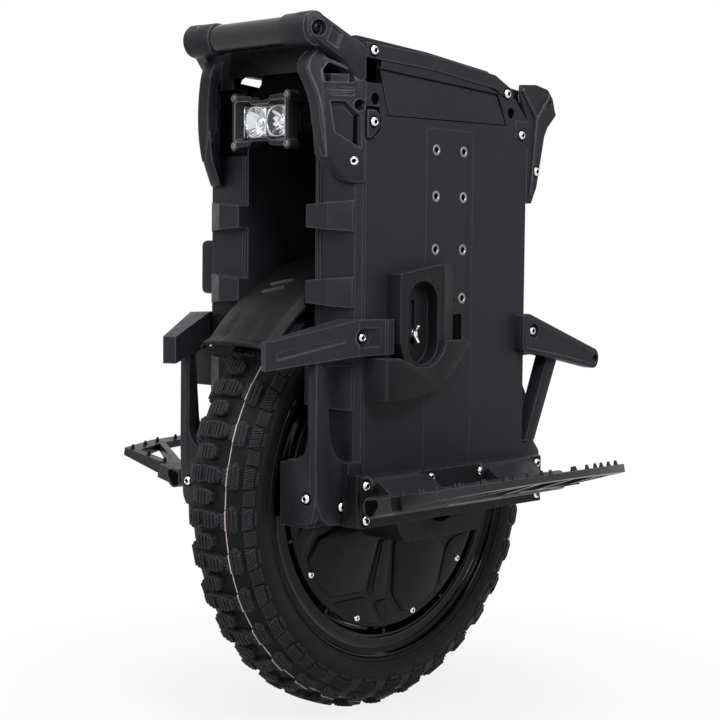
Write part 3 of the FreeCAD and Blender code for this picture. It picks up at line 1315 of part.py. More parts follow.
def spike_places():
    """Corners and mid-edges of the frame's middle line, and a row along its inner edge."""
    loop = pedal_plan(PEDAL_FRAME / 2)
    outer = loop[1:-1]
    middles = [((x0 + x1) / 2, (y0 + y1) / 2) for (x0, y0), (x1, y1) in zip(outer, outer[1:])]
    inner_x, inner_y = loop[0]
    return outer + middles + [(inner_x, share * inner_y) for share in SPIKE_ROW_SHARES]


def pedal_spikes_left():
    top = HINGE_Z + PEDAL_ROOT_THICK / 2
    return Part.makeCompound([
        tilted(Part.makeCone(SPIKE_R, SPIKE_R / 2, SPIKE_HEIGHT, V(x, y, top)))
        for x, y in spike_places()
    ])


# Leg pads and wing screws
def upper_pad_left():
    low = POCKET_LOW_Z
    high = POCKET_LOW_Z + POCKET_RUN
    top = PAD_BOTTOM_Z + PAD_HEIGHT
    face = PAD_X + PAD_RISE
    floor = PAD_X + POCKET_FLOOR
    side = [
        (-PAD_FRONT, low), (-PAD_FRONT, top - POCKET_RIM), (-STRIP_HALF, top),
        (PAD_REAR - POCKET_RIM, top), (PAD_REAR, top - POCKET_RIM), (PAD_REAR, low),
    ]
    plan = [
        (PAD_X, -PAD_FRONT), (face, -PAD_FRONT), (face, -STRIP_HALF + POCKET_RIM),
        (floor, PAD_REAR), (PAD_X, PAD_REAR),
    ]
    bottom = rod_x(-POCKET_CENTRE, low, POCKET_R + POCKET_RIM, PAD_X, face)
    body = joined([prism_x(side, PAD_X, face), bottom])
    solid = body.common(prism_z(plan, low - POCKET_R * 2, top))
    pocket = obround_x(-POCKET_CENTRE, low, high, POCKET_R, floor, face + OVERRUN)
    slot = obround_x(-POCKET_CENTRE, low, high, WING_SHANK_R + SLIDE_GAP, PAD_X - OVERRUN, face)
    return solid.cut([pocket, slot])


def lower_pad_left():
    """Block under the upper pad whose rear end sweeps up in a hook round the pocket."""
    front = -PANEL_HALF_LENGTH
    low = HOOK_TOP_Z - HOOK_HEIGHT
    length = HOOK_TIP - front
    tip = (HOOK_TIP, HOOK_TOP_Z + HOOK_TIP_RISE)
    curve = [(front + u * length, low + v * (tip[1] - low)) for u, v in HOOK_CURVE_SHARES]
    corners = [(front, HOOK_TOP_Z), (front, low), curve[0], curve[1], tip]
    points = [V(PAD_X, y, z) for y, z in corners]
    edges = [
        Part.LineSegment(points[0], points[1]).toShape(),
        Part.LineSegment(points[1], points[2]).toShape(),
        Part.Arc(points[2], points[3], points[4]).toShape(),
        Part.LineSegment(points[4], points[0]).toShape(),
    ]
    body = Part.Face(Part.Wire(edges)).extrude(V(HOOK_RISE, 0, 0))
    face = PAD_X + HOOK_RISE
    slope = [
        (PAD_X, front), (face, front + POCKET_RIM * 2), (face, -POCKET_CENTRE),
        (PAD_X + HOOK_RISE * 2 / 3, HOOK_TIP), (PAD_X, HOOK_TIP),
    ]
    above = tip[1] + OVERRUN
    shaped = body.common(prism_z(slope, low - OVERRUN, above))
    inner = POCKET_R + POCKET_RIM + SEAM
    back = V(PAD_X - SEAM, -POCKET_CENTRE, POCKET_LOW_Z)
    hollow = Part.makeCone(inner, inner + HOOK_FLARE, HOOK_RISE + SEAM, back, V(1, 0, 0))
    over = block(PAD_X - SEAM, face + OVERRUN, -POCKET_CENTRE, HOOK_TIP, POCKET_LOW_Z, above)
    return shaped.cut([hollow, over])


def wing_screw_left():
    seat = PAD_X + POCKET_FLOOR + SLIDE_GAP
    y = -POCKET_CENTRE
    shank = rod_x(y, WING_Z, WING_SHANK_R, BOX_OUTER_X - SCREW_LENGTH + FIT, seat)
    hub = rod_x(y, WING_Z, WING_HUB_R, seat, seat + WING_HUB_LENGTH)
    outline = [(seat + v * WING_RISE, WING_Z + u * WING_SPAN) for u, v in WING_SHARES]
    wing = prism_y(outline, y - WING_THICK / 2, y + WING_THICK / 2)
    pair = [wing, wing.mirror(V(0, y, WING_Z), V(0, 0, 1))]
    return joined([shank, hub] + pair)


# Headlight
def bezel_outline():
    quarter = [(u * BEZEL_HALF_WIDTH, v * BEZEL_HALF_HEIGHT) for u, v in BEZEL_SHARES]
    top = quarter + [(-x, z) for x, z in reversed(quarter)]
    ring = top + [(-x, -z) for x, z in top]
    return [(x, LIGHT_Z + z) for x, z in ring]


def headlight_bezel():
    front = -LIGHT_FRONT_AHEAD
    frame = prism_y(bezel_outline(), front, front + BEZEL_DEPTH)
    w = BEZEL_WINDOW_HALF
    h = BEZEL_WINDOW_RISE
    window = block(-w, w, front - OVERRUN, front + BEZEL_DEPTH + OVERRUN, LIGHT_Z - h, LIGHT_Z + h)
    return frame.cut(window)


def headlight_lens():
    front = -LIGHT_FRONT_AHEAD + LENS_SINK
    w = BEZEL_WINDOW_HALF - FIT
    h = BEZEL_WINDOW_RISE - FIT
    return block(-w, w, front, front + LENS_THICK, LIGHT_Z - h, LIGHT_Z + h)


def reflector_cone(grow, length):
    slope = (REFLECTOR_R - REFLECTOR_BACK_R) / REFLECTOR_DEPTH
    start = -LIGHT_FRONT_AHEAD + BEZEL_DEPTH
    back = REFLECTOR_R + grow - slope * length
    return Part.makeCone(REFLECTOR_R + grow, back, length, V(REFLECTOR_OFFSET, start, LIGHT_Z), V(0, 1, 0))


def headlight_reflectors():
    inside = reflector_cone(-REFLECTOR_WALL, REFLECTOR_DEPTH - REFLECTOR_WALL)
    cup = reflector_cone(0, REFLECTOR_DEPTH).cut(inside)
    return Part.makeCompound(both_sides([cup]))


def cooling_grooves(front, back):
    """Bands cut round the housing, leaving its core whole."""
    pitch = (back - front) / (LIGHT_FINS + 1)
    wide = BEZEL_HALF_WIDTH
    tall = BEZEL_HALF_HEIGHT
    w = LIGHT_HALF_WIDTH - LIGHT_FIN_DEPTH
    h = LIGHT_HALF_HEIGHT - LIGHT_TAPER - LIGHT_FIN_DEPTH
    grooves = []
    for index in range(1, LIGHT_FINS + 1):
        y0 = front + index * pitch
        y1 = y0 + LIGHT_FIN_GROOVE
        band = block(-wide, wide, y0, y1, LIGHT_Z - tall, LIGHT_Z + tall)
        grooves.append(band.cut(block(-w, w, y0, y1, LIGHT_Z - h, LIGHT_Z + h)))
    return grooves


def headlight_housing():
    front = -LIGHT_FRONT_AHEAD + BEZEL_DEPTH
    back = -LIGHT_BACK_AHEAD
    h = LIGHT_HALF_HEIGHT
    end_h = LIGHT_HALF_HEIGHT - LIGHT_TAPER
    side = [(front, LIGHT_Z - h), (back, LIGHT_Z - end_h), (back, LIGHT_Z + end_h), (front, LIGHT_Z + h)]
    body = prism_x(side, -LIGHT_HALF_WIDTH, LIGHT_HALF_WIDTH).cut(cooling_grooves(front, back))
    pivot = rod_x(-LIGHT_PIVOT_AHEAD, LIGHT_Z, PIVOT_R, -pivot_end(), pivot_end())
    cups = reflector_cone(FIT, REFLECTOR_DEPTH + FIT)
    return joined([body, pivot]).cut(both_sides([cups]))


def pivot_end():
    return LIGHT_HALF_WIDTH + PIVOT_GAP + LIGHT_PLATE


def headlight_bracket():
    inner = LIGHT_HALF_WIDTH + PIVOT_GAP
    cheek = block(
        inner, inner + LIGHT_PLATE, -LIGHT_PIVOT_AHEAD - LIGHT_PLATE_HALF_HEIGHT, -CROSS_AHEAD,
        LIGHT_Z - LIGHT_PLATE_HALF_HEIGHT, LIGHT_Z + LIGHT_PLATE_HALF_HEIGHT,
    )
    cross = block(
        -CHANNEL_HALF, CHANNEL_HALF, -CROSS_AHEAD - LIGHT_PLATE, -CROSS_AHEAD,
        LIGHT_Z - LIGHT_PLATE_HALF_HEIGHT, LIGHT_Z + LIGHT_PLATE_HALF_HEIGHT,
    )
    bore = rod_x(-LIGHT_PIVOT_AHEAD, LIGHT_Z, PIVOT_R + FIT, -CHANNEL_HALF, CHANNEL_HALF)
    return joined([cross] + both_sides([cheek])).cut(bore)


# Where the button screws sit, on the left side
def tab_seats():
    y = PANEL_HALF_LENGTH - TAB_LENGTH / 2
    return [V(GUARD_X, -y, TAB_Z), V(GUARD_X, y, TAB_Z)]


def guard_seats():
    y = BOX_HALF_LENGTH + GUARD_HOLE_R * 2
    z = GUARD_BOTTOM_Z + GUARD_HOLE_R * 4
    return [V(GUARD_X, -y, z), V(GUARD_X, y, z)]


def rail_seats():
    line = rail_line()
    front, rear = line[0], line[-1]
    inset = RAIL_DEPTH * 2 / 3
    front_seat = V(PANEL_X, front[0] + inset, front[1] - RAIL_DEPTH / 2)
    return [front_seat, V(PANEL_X, rear[0] - inset, rear[1] - RAIL_DEPTH / 3)]


def bar_seats():
    return [V(SLEEVE_END_X - SLEEVE_POCKET, -BAR_AHEAD, BAR_Z)]


def rear_bar_seats():
    return [V(GUARD_X, REAR_BAR_BACK, REAR_BAR_Z)]


def bumper_seats():
    x = BUMPER_X - BUMPER_BOLT_SINK
    z = BUMPER_Z + BUMPER_HEIGHT / 2
    return [V(x, -BUMPER_BOLT_BACK, z), V(x, BUMPER_BOLT_BACK, z)]


def foot_seats():
    y = STRUT_FRONT - FOOT_LENGTH + SCREW_HEAD_R * 2
    return [V(STRUT_OUTER_X, -y, AXLE_Z + HINGE_ABOVE_AXLE), V(STRUT_OUTER_X, y, AXLE_Z + HINGE_ABOVE_AXLE)]


def nose_seats(sign):
    x = (CHANNEL_HALF + HANGER_NOSE_X) / 2
    return [V(x, sign * HANGER_FRONT, AXLE_Z + HINGE_ABOVE_AXLE)]


def bracket_seats():
    high = BOLT_Z + BOLT_ROW
    low = BOLT_Z - BOLT_ROW
    upper = [(y, high) for y in (-BOLT_FAR, -BOLT_NEAR, BOLT_NEAR, BOLT_FAR)]
    lower = [(y, low) for y in (-BOLT_FAR, BOLT_FAR)]
    return [V(BRACKET_X, y, z) for y, z in upper + lower]


def body_screws():
    seats = tab_seats() + guard_seats() + rail_seats() + bar_seats() + rear_bar_seats()
    seats += bumper_seats() + foot_seats() + bracket_seats()
    screws = [button_screw(seat, V(-1, 0, 0)) for seat in seats]
    screws += [button_screw(seat, V(0, 1, 0)) for seat in nose_seats(-1)]
    screws += [button_screw(seat, V(0, -1, 0)) for seat in nose_seats(1)]
    return Part.makeCompound(both_sides(screws))


SINGLE_NODES = (
    tyre, rim, motor_cover_screws, wheel_bearings, magnet_ring, stator, axle, axle_nuts,
    battery_packs, pad_strips, pad_inserts, top_deck, power_button, heat_sink, controller_board,
    charge_port, tail_light, handle_bar, rear_bar, front_fender, rear_fender, pedal_pins,
    headlight_housing, headlight_bezel, headlight_lens, headlight_reflectors, headlight_bracket,
    body_screws,
)
PAIRED_NODES = (
    motor_cover_left, hanger_left, battery_box_left, side_panel_left, recess_panel_left, grab_rail_left,
    front_guard_left, rear_guard_left, pedal_bracket_left, pedal_left, pedal_spikes_left,
    upper_pad_left, lower_pad_left, wing_screw_left, bumper_front_left, bumper_rear_left,
)


def main():
    os.makedirs("parts", exist_ok=True)
    for make in SINGLE_NODES:
        save(make.__name__, make())
    for make in PAIRED_NODES:
        left = make()
        save(make.__name__, left)
        save(make.__name__.replace("_left", "_right"), other_side(left))


main()
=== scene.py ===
"""Electric unicycle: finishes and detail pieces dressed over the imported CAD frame."""
import json
import math

import bmesh
import bpy
import numpy as np
from bpy.props import FloatProperty, FloatVectorProperty, IntProperty, PointerProperty
from mathutils import Matrix


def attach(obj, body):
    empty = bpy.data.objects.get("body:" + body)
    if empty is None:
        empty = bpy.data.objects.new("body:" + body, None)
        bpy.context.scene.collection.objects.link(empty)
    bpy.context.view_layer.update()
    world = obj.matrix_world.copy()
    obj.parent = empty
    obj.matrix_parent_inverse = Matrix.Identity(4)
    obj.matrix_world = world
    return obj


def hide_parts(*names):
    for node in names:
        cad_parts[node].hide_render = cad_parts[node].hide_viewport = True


bl_info = {
    "name": "Electric unicycle dressing",
    "version": (1, 0, 0),
    "blender": (4, 5, 0),
    "location": "View3D > Sidebar > Unicycle",
    "description": "Dresses the packed electric unicycle with finishes and moulded detail",
    "category": "Object",
}

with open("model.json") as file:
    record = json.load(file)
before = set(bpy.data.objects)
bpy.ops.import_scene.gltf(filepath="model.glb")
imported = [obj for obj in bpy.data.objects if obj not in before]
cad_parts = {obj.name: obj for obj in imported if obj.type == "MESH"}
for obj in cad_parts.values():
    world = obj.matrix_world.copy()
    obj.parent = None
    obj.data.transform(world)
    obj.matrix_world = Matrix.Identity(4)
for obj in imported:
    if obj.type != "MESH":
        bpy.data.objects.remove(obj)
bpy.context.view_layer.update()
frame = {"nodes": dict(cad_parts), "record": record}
BODY_OF = {node: body for body, nodes in frame["record"]["behaviour"]["bodies"].items() for node in nodes}

# Lengths below are millimetres unless a line says otherwise; MM turns them into metres
MM = 0.001
AXLE = 250.0


# Settings a user would change
def colour(name, text, default):
    """A colour that a user may change."""
    return FloatVectorProperty(
        name=name, description=text, default=default, size=3, min=0, max=1, subtype="COLOR",
    )


def length(name, text, default):
    """A length in metres that a user may change."""
    return FloatProperty(name=name, description=text, default=default, unit="LENGTH", subtype="DISTANCE")


def power(name, text, default):
    """A lamp's power in watts."""
    return FloatProperty(name=name, description=text, default=default, min=0, unit="POWER")


class UnicycleFinishes(bpy.types.PropertyGroup):
    """Colours of the finishes."""

    moulding: colour("Moulding", "Grained plastic of guards, boxes and bumpers", (0.0166, 0.0162, 0.0200))
    panel: colour("Panel", "Satin dark sheet of the side panels", (0.0172, 0.0168, 0.0208))
    cast: colour("Cast metal", "Satin coating on hangers, brackets and pedals", (0.0130, 0.0128, 0.0150))
    gloss: colour("Gloss black", "Glossy coating of the rim", (0.0035, 0.0035, 0.0038))
    cover: colour("Motor cover", "Satin coating of the motor covers", (0.0056, 0.0056, 0.0066))
    # Pale grey of the bead of painted highlight on the bezel, and of the bezel's screws
    edge: colour("Pale edge", "Pale bead that paints the bezel's edge highlight, and the bezel's screws", (0.16, 0.16, 0.17))
    rubber: colour("Tyre rubber", "Tread and sidewall", (0.0125, 0.0120, 0.0140))
    pad: colour("Leg pad", "Firm moulded pads", (0.0086, 0.0083, 0.0100))
    bright: colour("Bright metal", "Plated screws and wing screws", (0.78, 0.78, 0.77))
    thread: colour("Tyre line", "Thin pale line round the tread", (0.62, 0.50, 0.51))


class UnicycleTread(bpy.types.PropertyGroup):
    """Sizes of the tyre's tread."""

    block_height: length("Block height", "How far the blocks stand off the carcass", 0.0090)
    sipe_depth: length("Sipe depth", "Depth of the slits in the blocks", 0.0018)
    pitches: IntProperty(
        name="Pitches", description="Tread pitches round the tyre", default=33, min=12, max=60,
    )


class UnicycleStage(bpy.types.PropertyGroup):
    """Light and floor."""

    floor: colour("Floor", "Colour of the floor", (0.62, 0.62, 0.62))
    world: FloatProperty(name="World", description="Strength of the even light", default=0.14, min=0)
    key: power("Key", "Power of the lamp on the near side", 4.2)
    front: power("Front", "Power of the lamp ahead", 26.0)
    top: power("Top", "Power of the lamp overhead", 34.0)


# Arrays of points and faces; a part is a pair (points, faces)
MITRE_FLOOR = 0.35  # keeps the mitre of a very sharp corner from running away
ARC_SHARE = 0.45  # the most of a side that one rounded corner may take
SMALLEST_ARC = 0.4
ARC_STEPS = 3
MIRROR = np.array([-1.0, 1.0, 1.0])


def full_turn(steps):
    """Angles of one whole turn, evenly spaced, in radians."""
    return np.linspace(0, 2 * np.pi, steps, endpoint=False)


def grid_faces(rows, cols, close_rows=False, close_cols=False):
    """Quads of a grid whose point number is row * cols + col; either way may run round in a ring."""
    r = np.arange(rows if close_rows else rows - 1)
    c = np.arange(cols if close_cols else cols - 1)
    r, c = np.meshgrid(r, c, indexing="ij")
    r1 = (r + 1) % rows
    c1 = (c + 1) % cols
    quads = np.stack([r * cols + c, r * cols + c1, r1 * cols + c1, r1 * cols + c], axis=-1)
    return quads.reshape(-1, 4).tolist()


def capped(rings):
    """A stack of closed rings joined by quads, with its first and last ring filled."""
    count, size = rings.shape[:2]
    faces = grid_faces(count, size, close_cols=True)
    faces.append(list(range(size))[::-1])
    faces.append(list(range((count - 1) * size, count * size)))
    return rings.reshape(-1, 3), faces


def closed_tube(points):
    """A grid of points that runs round in a ring both ways."""
    rows, cols = points.shape[:2]
    return points.reshape(-1, 3), grid_faces(rows, cols, close_rows=True, close_cols=True)


def thick_grid(low, high):
    """Two like grids of points, one above the other, closed round their edges."""
    rows, cols = low.shape[:2]
    size = rows * cols
    faces = grid_faces(rows, cols)
    index = np.arange(size).reshape(rows, cols)
    rim = np.concatenate([index[0], index[1:, -1], index[-1, -2::-1], index[-2:0:-1, 0]])
    after = np.roll(rim, -1)
    sides = np.stack([rim, after, after + size, rim + size], axis=1).tolist()
    top = [[i + size for i in face[::-1]] for face in faces]
    return np.concatenate([low.reshape(-1, 3), high.reshape(-1, 3)]), faces + top + sides


def gathered(parts):
    """Several (points, faces) pairs as one, with the face numbers moved on."""
    points, faces, start = [], [], 0
    for own_points, own_faces in parts:
        points.append(own_points)
        faces += [[i + start for i in face] for face in own_faces]
        start += len(own_points)
    return np.concatenate(points), faces


def copies(points, faces, count):
    """The same faces for a stack of shapes given as an array (count, size, 3)."""
    size = points.shape[1]
    many = [[i + n * size for i in face] for n in range(count) for face in faces]
    return points.reshape(-1, 3), many


def smooth_curve(points, steps):
    """A cubic through the points, each slope taken from its two neighbours."""
    slope = np.gradient(points, axis=0)
    t = np.linspace(0, 1, steps, endpoint=False)[None, :, None]
    leaving = (2 * t**3 - 3 * t**2 + 1) * points[:-1, None] + (t**3 - 2 * t**2 + t) * slope[:-1, None]
    arriving = (3 * t**2 - 2 * t**3) * points[1:, None]
    run = leaving + arriving + (t**3 - t**2) * slope[1:, None]
    return np.concatenate([run.reshape(-1, 2), points[-1:]])


def inset(outline, distance):
    """Each side of an anticlockwise outline moved inwards, or outwards if negative, with mitred corners."""
    way_in = outline - np.roll(outline, 1, axis=0)
    way_out = np.roll(outline, -1, axis=0) - outline
    way_in = way_in / np.linalg.norm(way_in, axis=1, keepdims=True)
    way_out = way_out / np.linalg.norm(way_out, axis=1, keepdims=True)
    left_in = np.stack([-way_in[:, 1], way_in[:, 0]], axis=1)
    left_out = np.stack([-way_out[:, 1], way_out[:, 0]], axis=1)
    scale = np.clip(1 + np.sum(left_in * left_out, axis=1, keepdims=True), MITRE_FLOOR, None)
    return outline + distance * (left_in + left_out) / scale


def anticlockwise(outline):
    """The outline in the order that goes round to the left."""
    outline = np.asarray(outline, float)
    x, y = outline.T
    turn = np.sum(x * np.roll(y, -1) - np.roll(x, -1) * y)
    return outline if turn > 0 else outline[::-1]


def rounded(outline, radius):
    """Corners swapped for quadratic arcs that start a radius before the corner and end a radius past it."""
    outline = np.asarray(outline, float)
    before = np.roll(outline, 1, axis=0) - outline
    after = np.roll(outline, -1, axis=0) - outline
    side_before = np.linalg.norm(before, axis=1, keepdims=True)
    side_after = np.linalg.norm(after, axis=1, keepdims=True)
    reach = np.minimum(radius, ARC_SHARE * np.minimum(side_before, side_after))
    start = outline + before / side_before * reach
    end = outline + after / side_after * reach
    t = np.linspace(0, 1, ARC_STEPS + 1)[None, :, None]
    arcs = (1 - t) ** 2 * start[:, None] + 2 * t * (1 - t) * outline[:, None] + t ** 2 * end[:, None]
    return arcs.reshape(-1, 2)


def slab(outline, levels, place, corner=0.0):
    """An outline stacked at (depth, inset) levels, its corners rounded; place maps (u, v, depth)."""
    outline = anticlockwise(outline)
    rings = []
    for depth, by in levels:
        ring = inset(outline, by)
        if corner:
            ring = rounded(ring, max(corner - by, SMALLEST_ARC))
        rings.append(np.column_stack([ring, np.full(len(ring), depth)]))
    return capped(place(np.stack(rings)))


def on_x(sign=1.0):
    """(u, v, depth) taken as (y, z, x), with x to the given side."""
    return lambda p: np.stack([sign * p[..., 2], p[..., 0], p[..., 1]], axis=-1)


def on_y():
    """(u, v, depth) taken as (x, z, y)."""
    return lambda p: np.stack([p[..., 0], p[..., 2], p[..., 1]], axis=-1)


def circle(u, v, radius, steps=28):
    """Outline of a circle about (u, v)."""
    angle = full_turn(steps)
    return np.stack([u + radius * np.cos(angle), v + radius * np.sin(angle)], axis=1)


def oblong(u0, u1, v0, v1):
    """Outline of an upright rectangle."""
    return np.array([(u0, v0), (u1, v0), (u1, v1), (u0, v1)], float)


def unit_way(start, end):
    """Direction of length one from one point to another."""
    return (end - start) / np.linalg.norm(end - start)


def strip(start, end, wide):
    """Outline of a straight bar between two points."""
    start, end = np.array(start, float), np.array(end, float)
    along = unit_way(start, end)
    aside = np.array([-along[1], along[0]]) * wide / 2
    return np.array([start - aside, end - aside, end + aside, start + aside])


def turned_ring(profile, steps):
    """A closed (x, r) profile turned about the axle: x stays, r swings from the top towards the rear."""
    profile = np.asarray(profile, float)
    angle = full_turn(steps)[:, None]
    x = np.broadcast_to(profile[None, :, 0], (steps, len(profile)))
    y = profile[None, :, 1] * np.sin(angle)
    z = AXLE + profile[None, :, 1] * np.cos(angle)
    return closed_tube(np.stack([x, y, z], axis=-1))


def turned_disc(rings, sides):
    """A short stack of (height, radius) rings about +x, round or with few sides."""
    angle = full_turn(sides)
    rows = []
    for rise, radius in rings:
        rows.append(np.column_stack([np.full(sides, rise), radius * np.cos(angle), radius * np.sin(angle)]))
    return capped(np.stack(rows))


def rod_along_x(y, z, rings, steps=40):
    """A round bar: rings of (x, radius) about an axis parallel to x."""
    angle = full_turn(steps)
    x, r = (np.array(col, float)[:, None] for col in zip(*rings))
    points = np.stack([x + 0 * angle, y + r * np.cos(angle), z + r * np.sin(angle)], axis=-1)
    return capped(points)


def along_y(shape):
    """A shape made along x, laid along y."""
    return shape[0][:, [1, 0, 2]], [face[::-1] for face in shape[1]]


def flipped(parts):
    """Mirror images on the other side, their faces still outward."""
    return [(points * MIRROR, [face[::-1] for face in faces]) for points, faces in parts]


def both(parts):
    """Parts on the left and their mirror images on the right."""
    return parts + flipped(parts)


def each_side(parts):
    """The left side with its parts, then the right side with their mirror images."""
    return (("left", parts), ("right", flipped(parts)))


# Pieces
MERGE_WITHIN = 0.00002  # metres
FLAT_WITHIN = 0.6  # degrees
SKIN_SHARP = 34  # degrees
BEVEL_SEGMENTS = 2


def outward_mesh(name, parts):
    """One mesh of all the parts, with its faces turned outwards."""
    points, faces = gathered(parts)
    mesh = bpy.data.meshes.new(name)
    mesh.from_pydata((points * MM).tolist(), [], faces)
    work = bmesh.new()
    work.from_mesh(mesh)
    bmesh.ops.recalc_face_normals(work, faces=work.faces)
    work.to_mesh(mesh)
    work.free()
    return mesh


def linked(name, data):
    """A new object of the scene."""
    made = bpy.data.objects.new(name, data)
    bpy.context.scene.collection.objects.link(made)
    return made


def piece(name, parts, finish, body, nodes=(), sharp=38, bevel=0.0):
    """Puts parts into one object that rides on a body and may stand for CAD nodes."""
    return finished(name, outward_mesh(name, parts), finish, body, nodes, sharp, bevel)


def finished(name, mesh, finish, body, nodes, sharp, bevel):
    """Smooth shading up to a sharp angle in degrees, the finish, rounded edges, the body it rides on, and
    the CAD nodes it stands for hidden.
    """
    mesh.polygons.foreach_set("use_smooth", np.ones(len(mesh.polygons), bool))
    mesh.set_sharp_from_angle(angle=math.radians(sharp))
    mesh.materials.clear()
    mesh.materials.append(MATERIALS[finish])
    made = linked(name, mesh)
    if bevel:
        edge = made.modifiers.new("rounded edges", "BEVEL")
        edge.width = bevel * MM
        edge.segments = BEVEL_SEGMENTS
        edge.limit_method = "ANGLE"
        edge.angle_limit = math.radians(sharp)
        edge.harden_normals = True
        edge.use_clamp_overlap = True
    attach(made, body)
    if nodes:
        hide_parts(*nodes)
    return made


def softened(node, finish, width):
    """A merged copy of a CAD node, its flat faces joined and its edges rounded; it stands for the node."""
    mesh = frame["nodes"][node].data.copy()
    work = bmesh.new()
    work.from_mesh(mesh)
    bmesh.ops.remove_doubles(work, verts=work.verts, dist=MERGE_WITHIN)
    flat = math.radians(FLAT_WITHIN)
    bmesh.ops.dissolve_limit(work, angle_limit=flat, verts=work.verts, edges=work.edges)
    work.to_mesh(mesh)
    work.free()
    return finished(node + "_skin", mesh, finish, BODY_OF[node], [node], SKIN_SHARP, width)


def carved(solid, cutters):
    """A closed part with other closed parts taken out of it."""
    base, *tools = [linked("loose", outward_mesh("loose", [part])) for part in (solid, *cutters)]
    for tool in tools:
        cut = base.modifiers.new("cut", "BOOLEAN")
        cut.object = tool
        cut.solver = "EXACT"
    shape = base.evaluated_get(bpy.context.evaluated_depsgraph_get()).to_mesh()
    if not len(shape.polygons):
        raise RuntimeError("carving left nothing of a piece")
    points = np.empty(len(shape.vertices) * 3)
    shape.vertices.foreach_get("co", points)
    faces = [list(face.vertices) for face in shape.polygons]
    for used in (base, *tools):
        mesh = used.data
        bpy.data.objects.remove(used)
        bpy.data.meshes.remove(mesh)
    return points.reshape(-1, 3) / MM, faces


def dressed(node, finish):
    """A CAD node kept as it is, with a better material."""
    mesh = frame["nodes"][node].data
    mesh.materials.clear()
    mesh.materials.append(MATERIALS[finish])


# Shader nodes and the groups that several finishes share
MIX_FACTOR, MIX_FIRST, MIX_SECOND, MIX_RESULT = 0, 6, 7, 2  # the colour sockets of a Mix node
GROUPS = {}
MOTTLE_SCALE, STREAK_SCALE, PATCH_SCALE = 14.0, 95.0, 260.0
EDGE_START, EDGE_FULL = 0.997, 0.88  # cosines between the softened normal and the true one
EDGE_SAMPLES = 4


def shader_group(name, inputs, outputs):
    """A new node group with its inputs, outputs and end nodes."""
    group = bpy.data.node_groups.new(name, "ShaderNodeTree")
    for label, kind, default in inputs:
        socket = group.interface.new_socket(label, in_out="INPUT", socket_type=kind)
        socket.default_value = default
    for label, kind in outputs:
        group.interface.new_socket(label, in_out="OUTPUT", socket_type=kind)
    return group, group.nodes.new("NodeGroupInput"), group.nodes.new("NodeGroupOutput")


def feed(tree, socket, value):
    """Links a socket to another node's output, or sets it to a plain value."""
    if hasattr(value, "is_output"):
        tree.links.new(value, socket)
    else:
        socket.default_value = value


def noise(tree, vector, scale, detail, rough):
    """Value of a noise texture, 0 to 1."""
    node = tree.nodes.new("ShaderNodeTexNoise")
    for label, value in (("Vector", vector), ("Scale", scale), ("Detail", detail), ("Roughness", rough)):
        feed(tree, node.inputs[label], value)
    return node.outputs["Fac"]


def mapped(tree, value, low, high, to_low, to_high):
    """A value carried in a straight line from one range to another, held at the ends."""
    node = tree.nodes.new("ShaderNodeMapRange")
    labels = ("Value", "From Min", "From Max", "To Min", "To Max")
    for label, amount in zip(labels, (value, low, high, to_low, to_high)):
        feed(tree, node.inputs[label], amount)
    return node.outputs["Result"]


def blended(tree, kind, factor, first, second):
    """Two colours mixed by a factor."""
    node = tree.nodes.new("ShaderNodeMix")
    node.data_type = "RGBA"
    node.blend_type = kind
    for index, value in ((MIX_FACTOR, factor), (MIX_FIRST, first), (MIX_SECOND, second)):
        feed(tree, node.inputs[index], value)
    return node.outputs[MIX_RESULT]


def arithmetic(tree, operation, first, second=0.0):
    """One sum of two values; the second is left out where the operation needs only one."""
    node = tree.nodes.new("ShaderNodeMath")
    node.operation = operation
    feed(tree, node.inputs[0], first)
    feed(tree, node.inputs[1], second)
    return node.outputs[0]


def grain_group():
    """Fine moulded grain: a height, and a slow mottling of tone and roughness."""
    group, start, end = shader_group(
        "Moulded grain",
        [("Vector", "NodeSocketVector", (0, 0, 0)), ("Grain scale", "NodeSocketFloat", 1800.0)],
        [("Height", "NodeSocketFloat"), ("Mottle", "NodeSocketFloat"), ("Streak", "NodeSocketFloat")],
    )
    vector = start.outputs["Vector"]
    fine = noise(group, vector, start.outputs["Grain scale"], 2.0, 0.55)
    slow = noise(group, vector, MOTTLE_SCALE, 3.0, 0.6)
    middle = noise(group, vector, STREAK_SCALE, 2.0, 0.5)
    group.links.new(fine, end.inputs["Height"])
    group.links.new(mapped(group, slow, 0.3, 0.7, 0.0, 1.0), end.inputs["Mottle"])
    group.links.new(mapped(group, middle, 0.35, 0.65, 0.0, 1.0), end.inputs["Streak"])
    return group


def edge_highlight_group():
    """Mask of a painted highlight along sharp outer edges: where the softened normal leaves the true one,
    in patches.
    """
    group, start, end = shader_group(
        "Edge rub",
        [("Vector", "NodeSocketVector", (0, 0, 0)), ("Radius", "NodeSocketFloat", 0.0012)],
        [("Highlight", "NodeSocketFloat")],
    )
    soft = group.nodes.new("ShaderNodeBevel")
    soft.samples = EDGE_SAMPLES
    group.links.new(start.outputs["Radius"], soft.inputs["Radius"])
    true = group.nodes.new("ShaderNodeNewGeometry")
    dot = group.nodes.new("ShaderNodeVectorMath")
    dot.operation = "DOT_PRODUCT"
    group.links.new(soft.outputs["Normal"], dot.inputs[0])
    group.links.new(true.outputs["Normal"], dot.inputs[1])
    near = mapped(group, dot.outputs["Value"], EDGE_START, EDGE_FULL, 0.0, 1.0)
    patch = noise(group, start.outputs["Vector"], PATCH_SCALE, 3.0, 0.6)
    painted_highlight = arithmetic(group, "MULTIPLY", near, mapped(group, patch, 0.3, 0.7, 0.45, 1.0))
    group.links.new(painted_highlight, end.inputs["Highlight"])
    return group


def shared(name, build):
    """A node group that is built at its first use."""
    if name not in GROUPS:
        GROUPS[name] = build()
    return GROUPS[name]


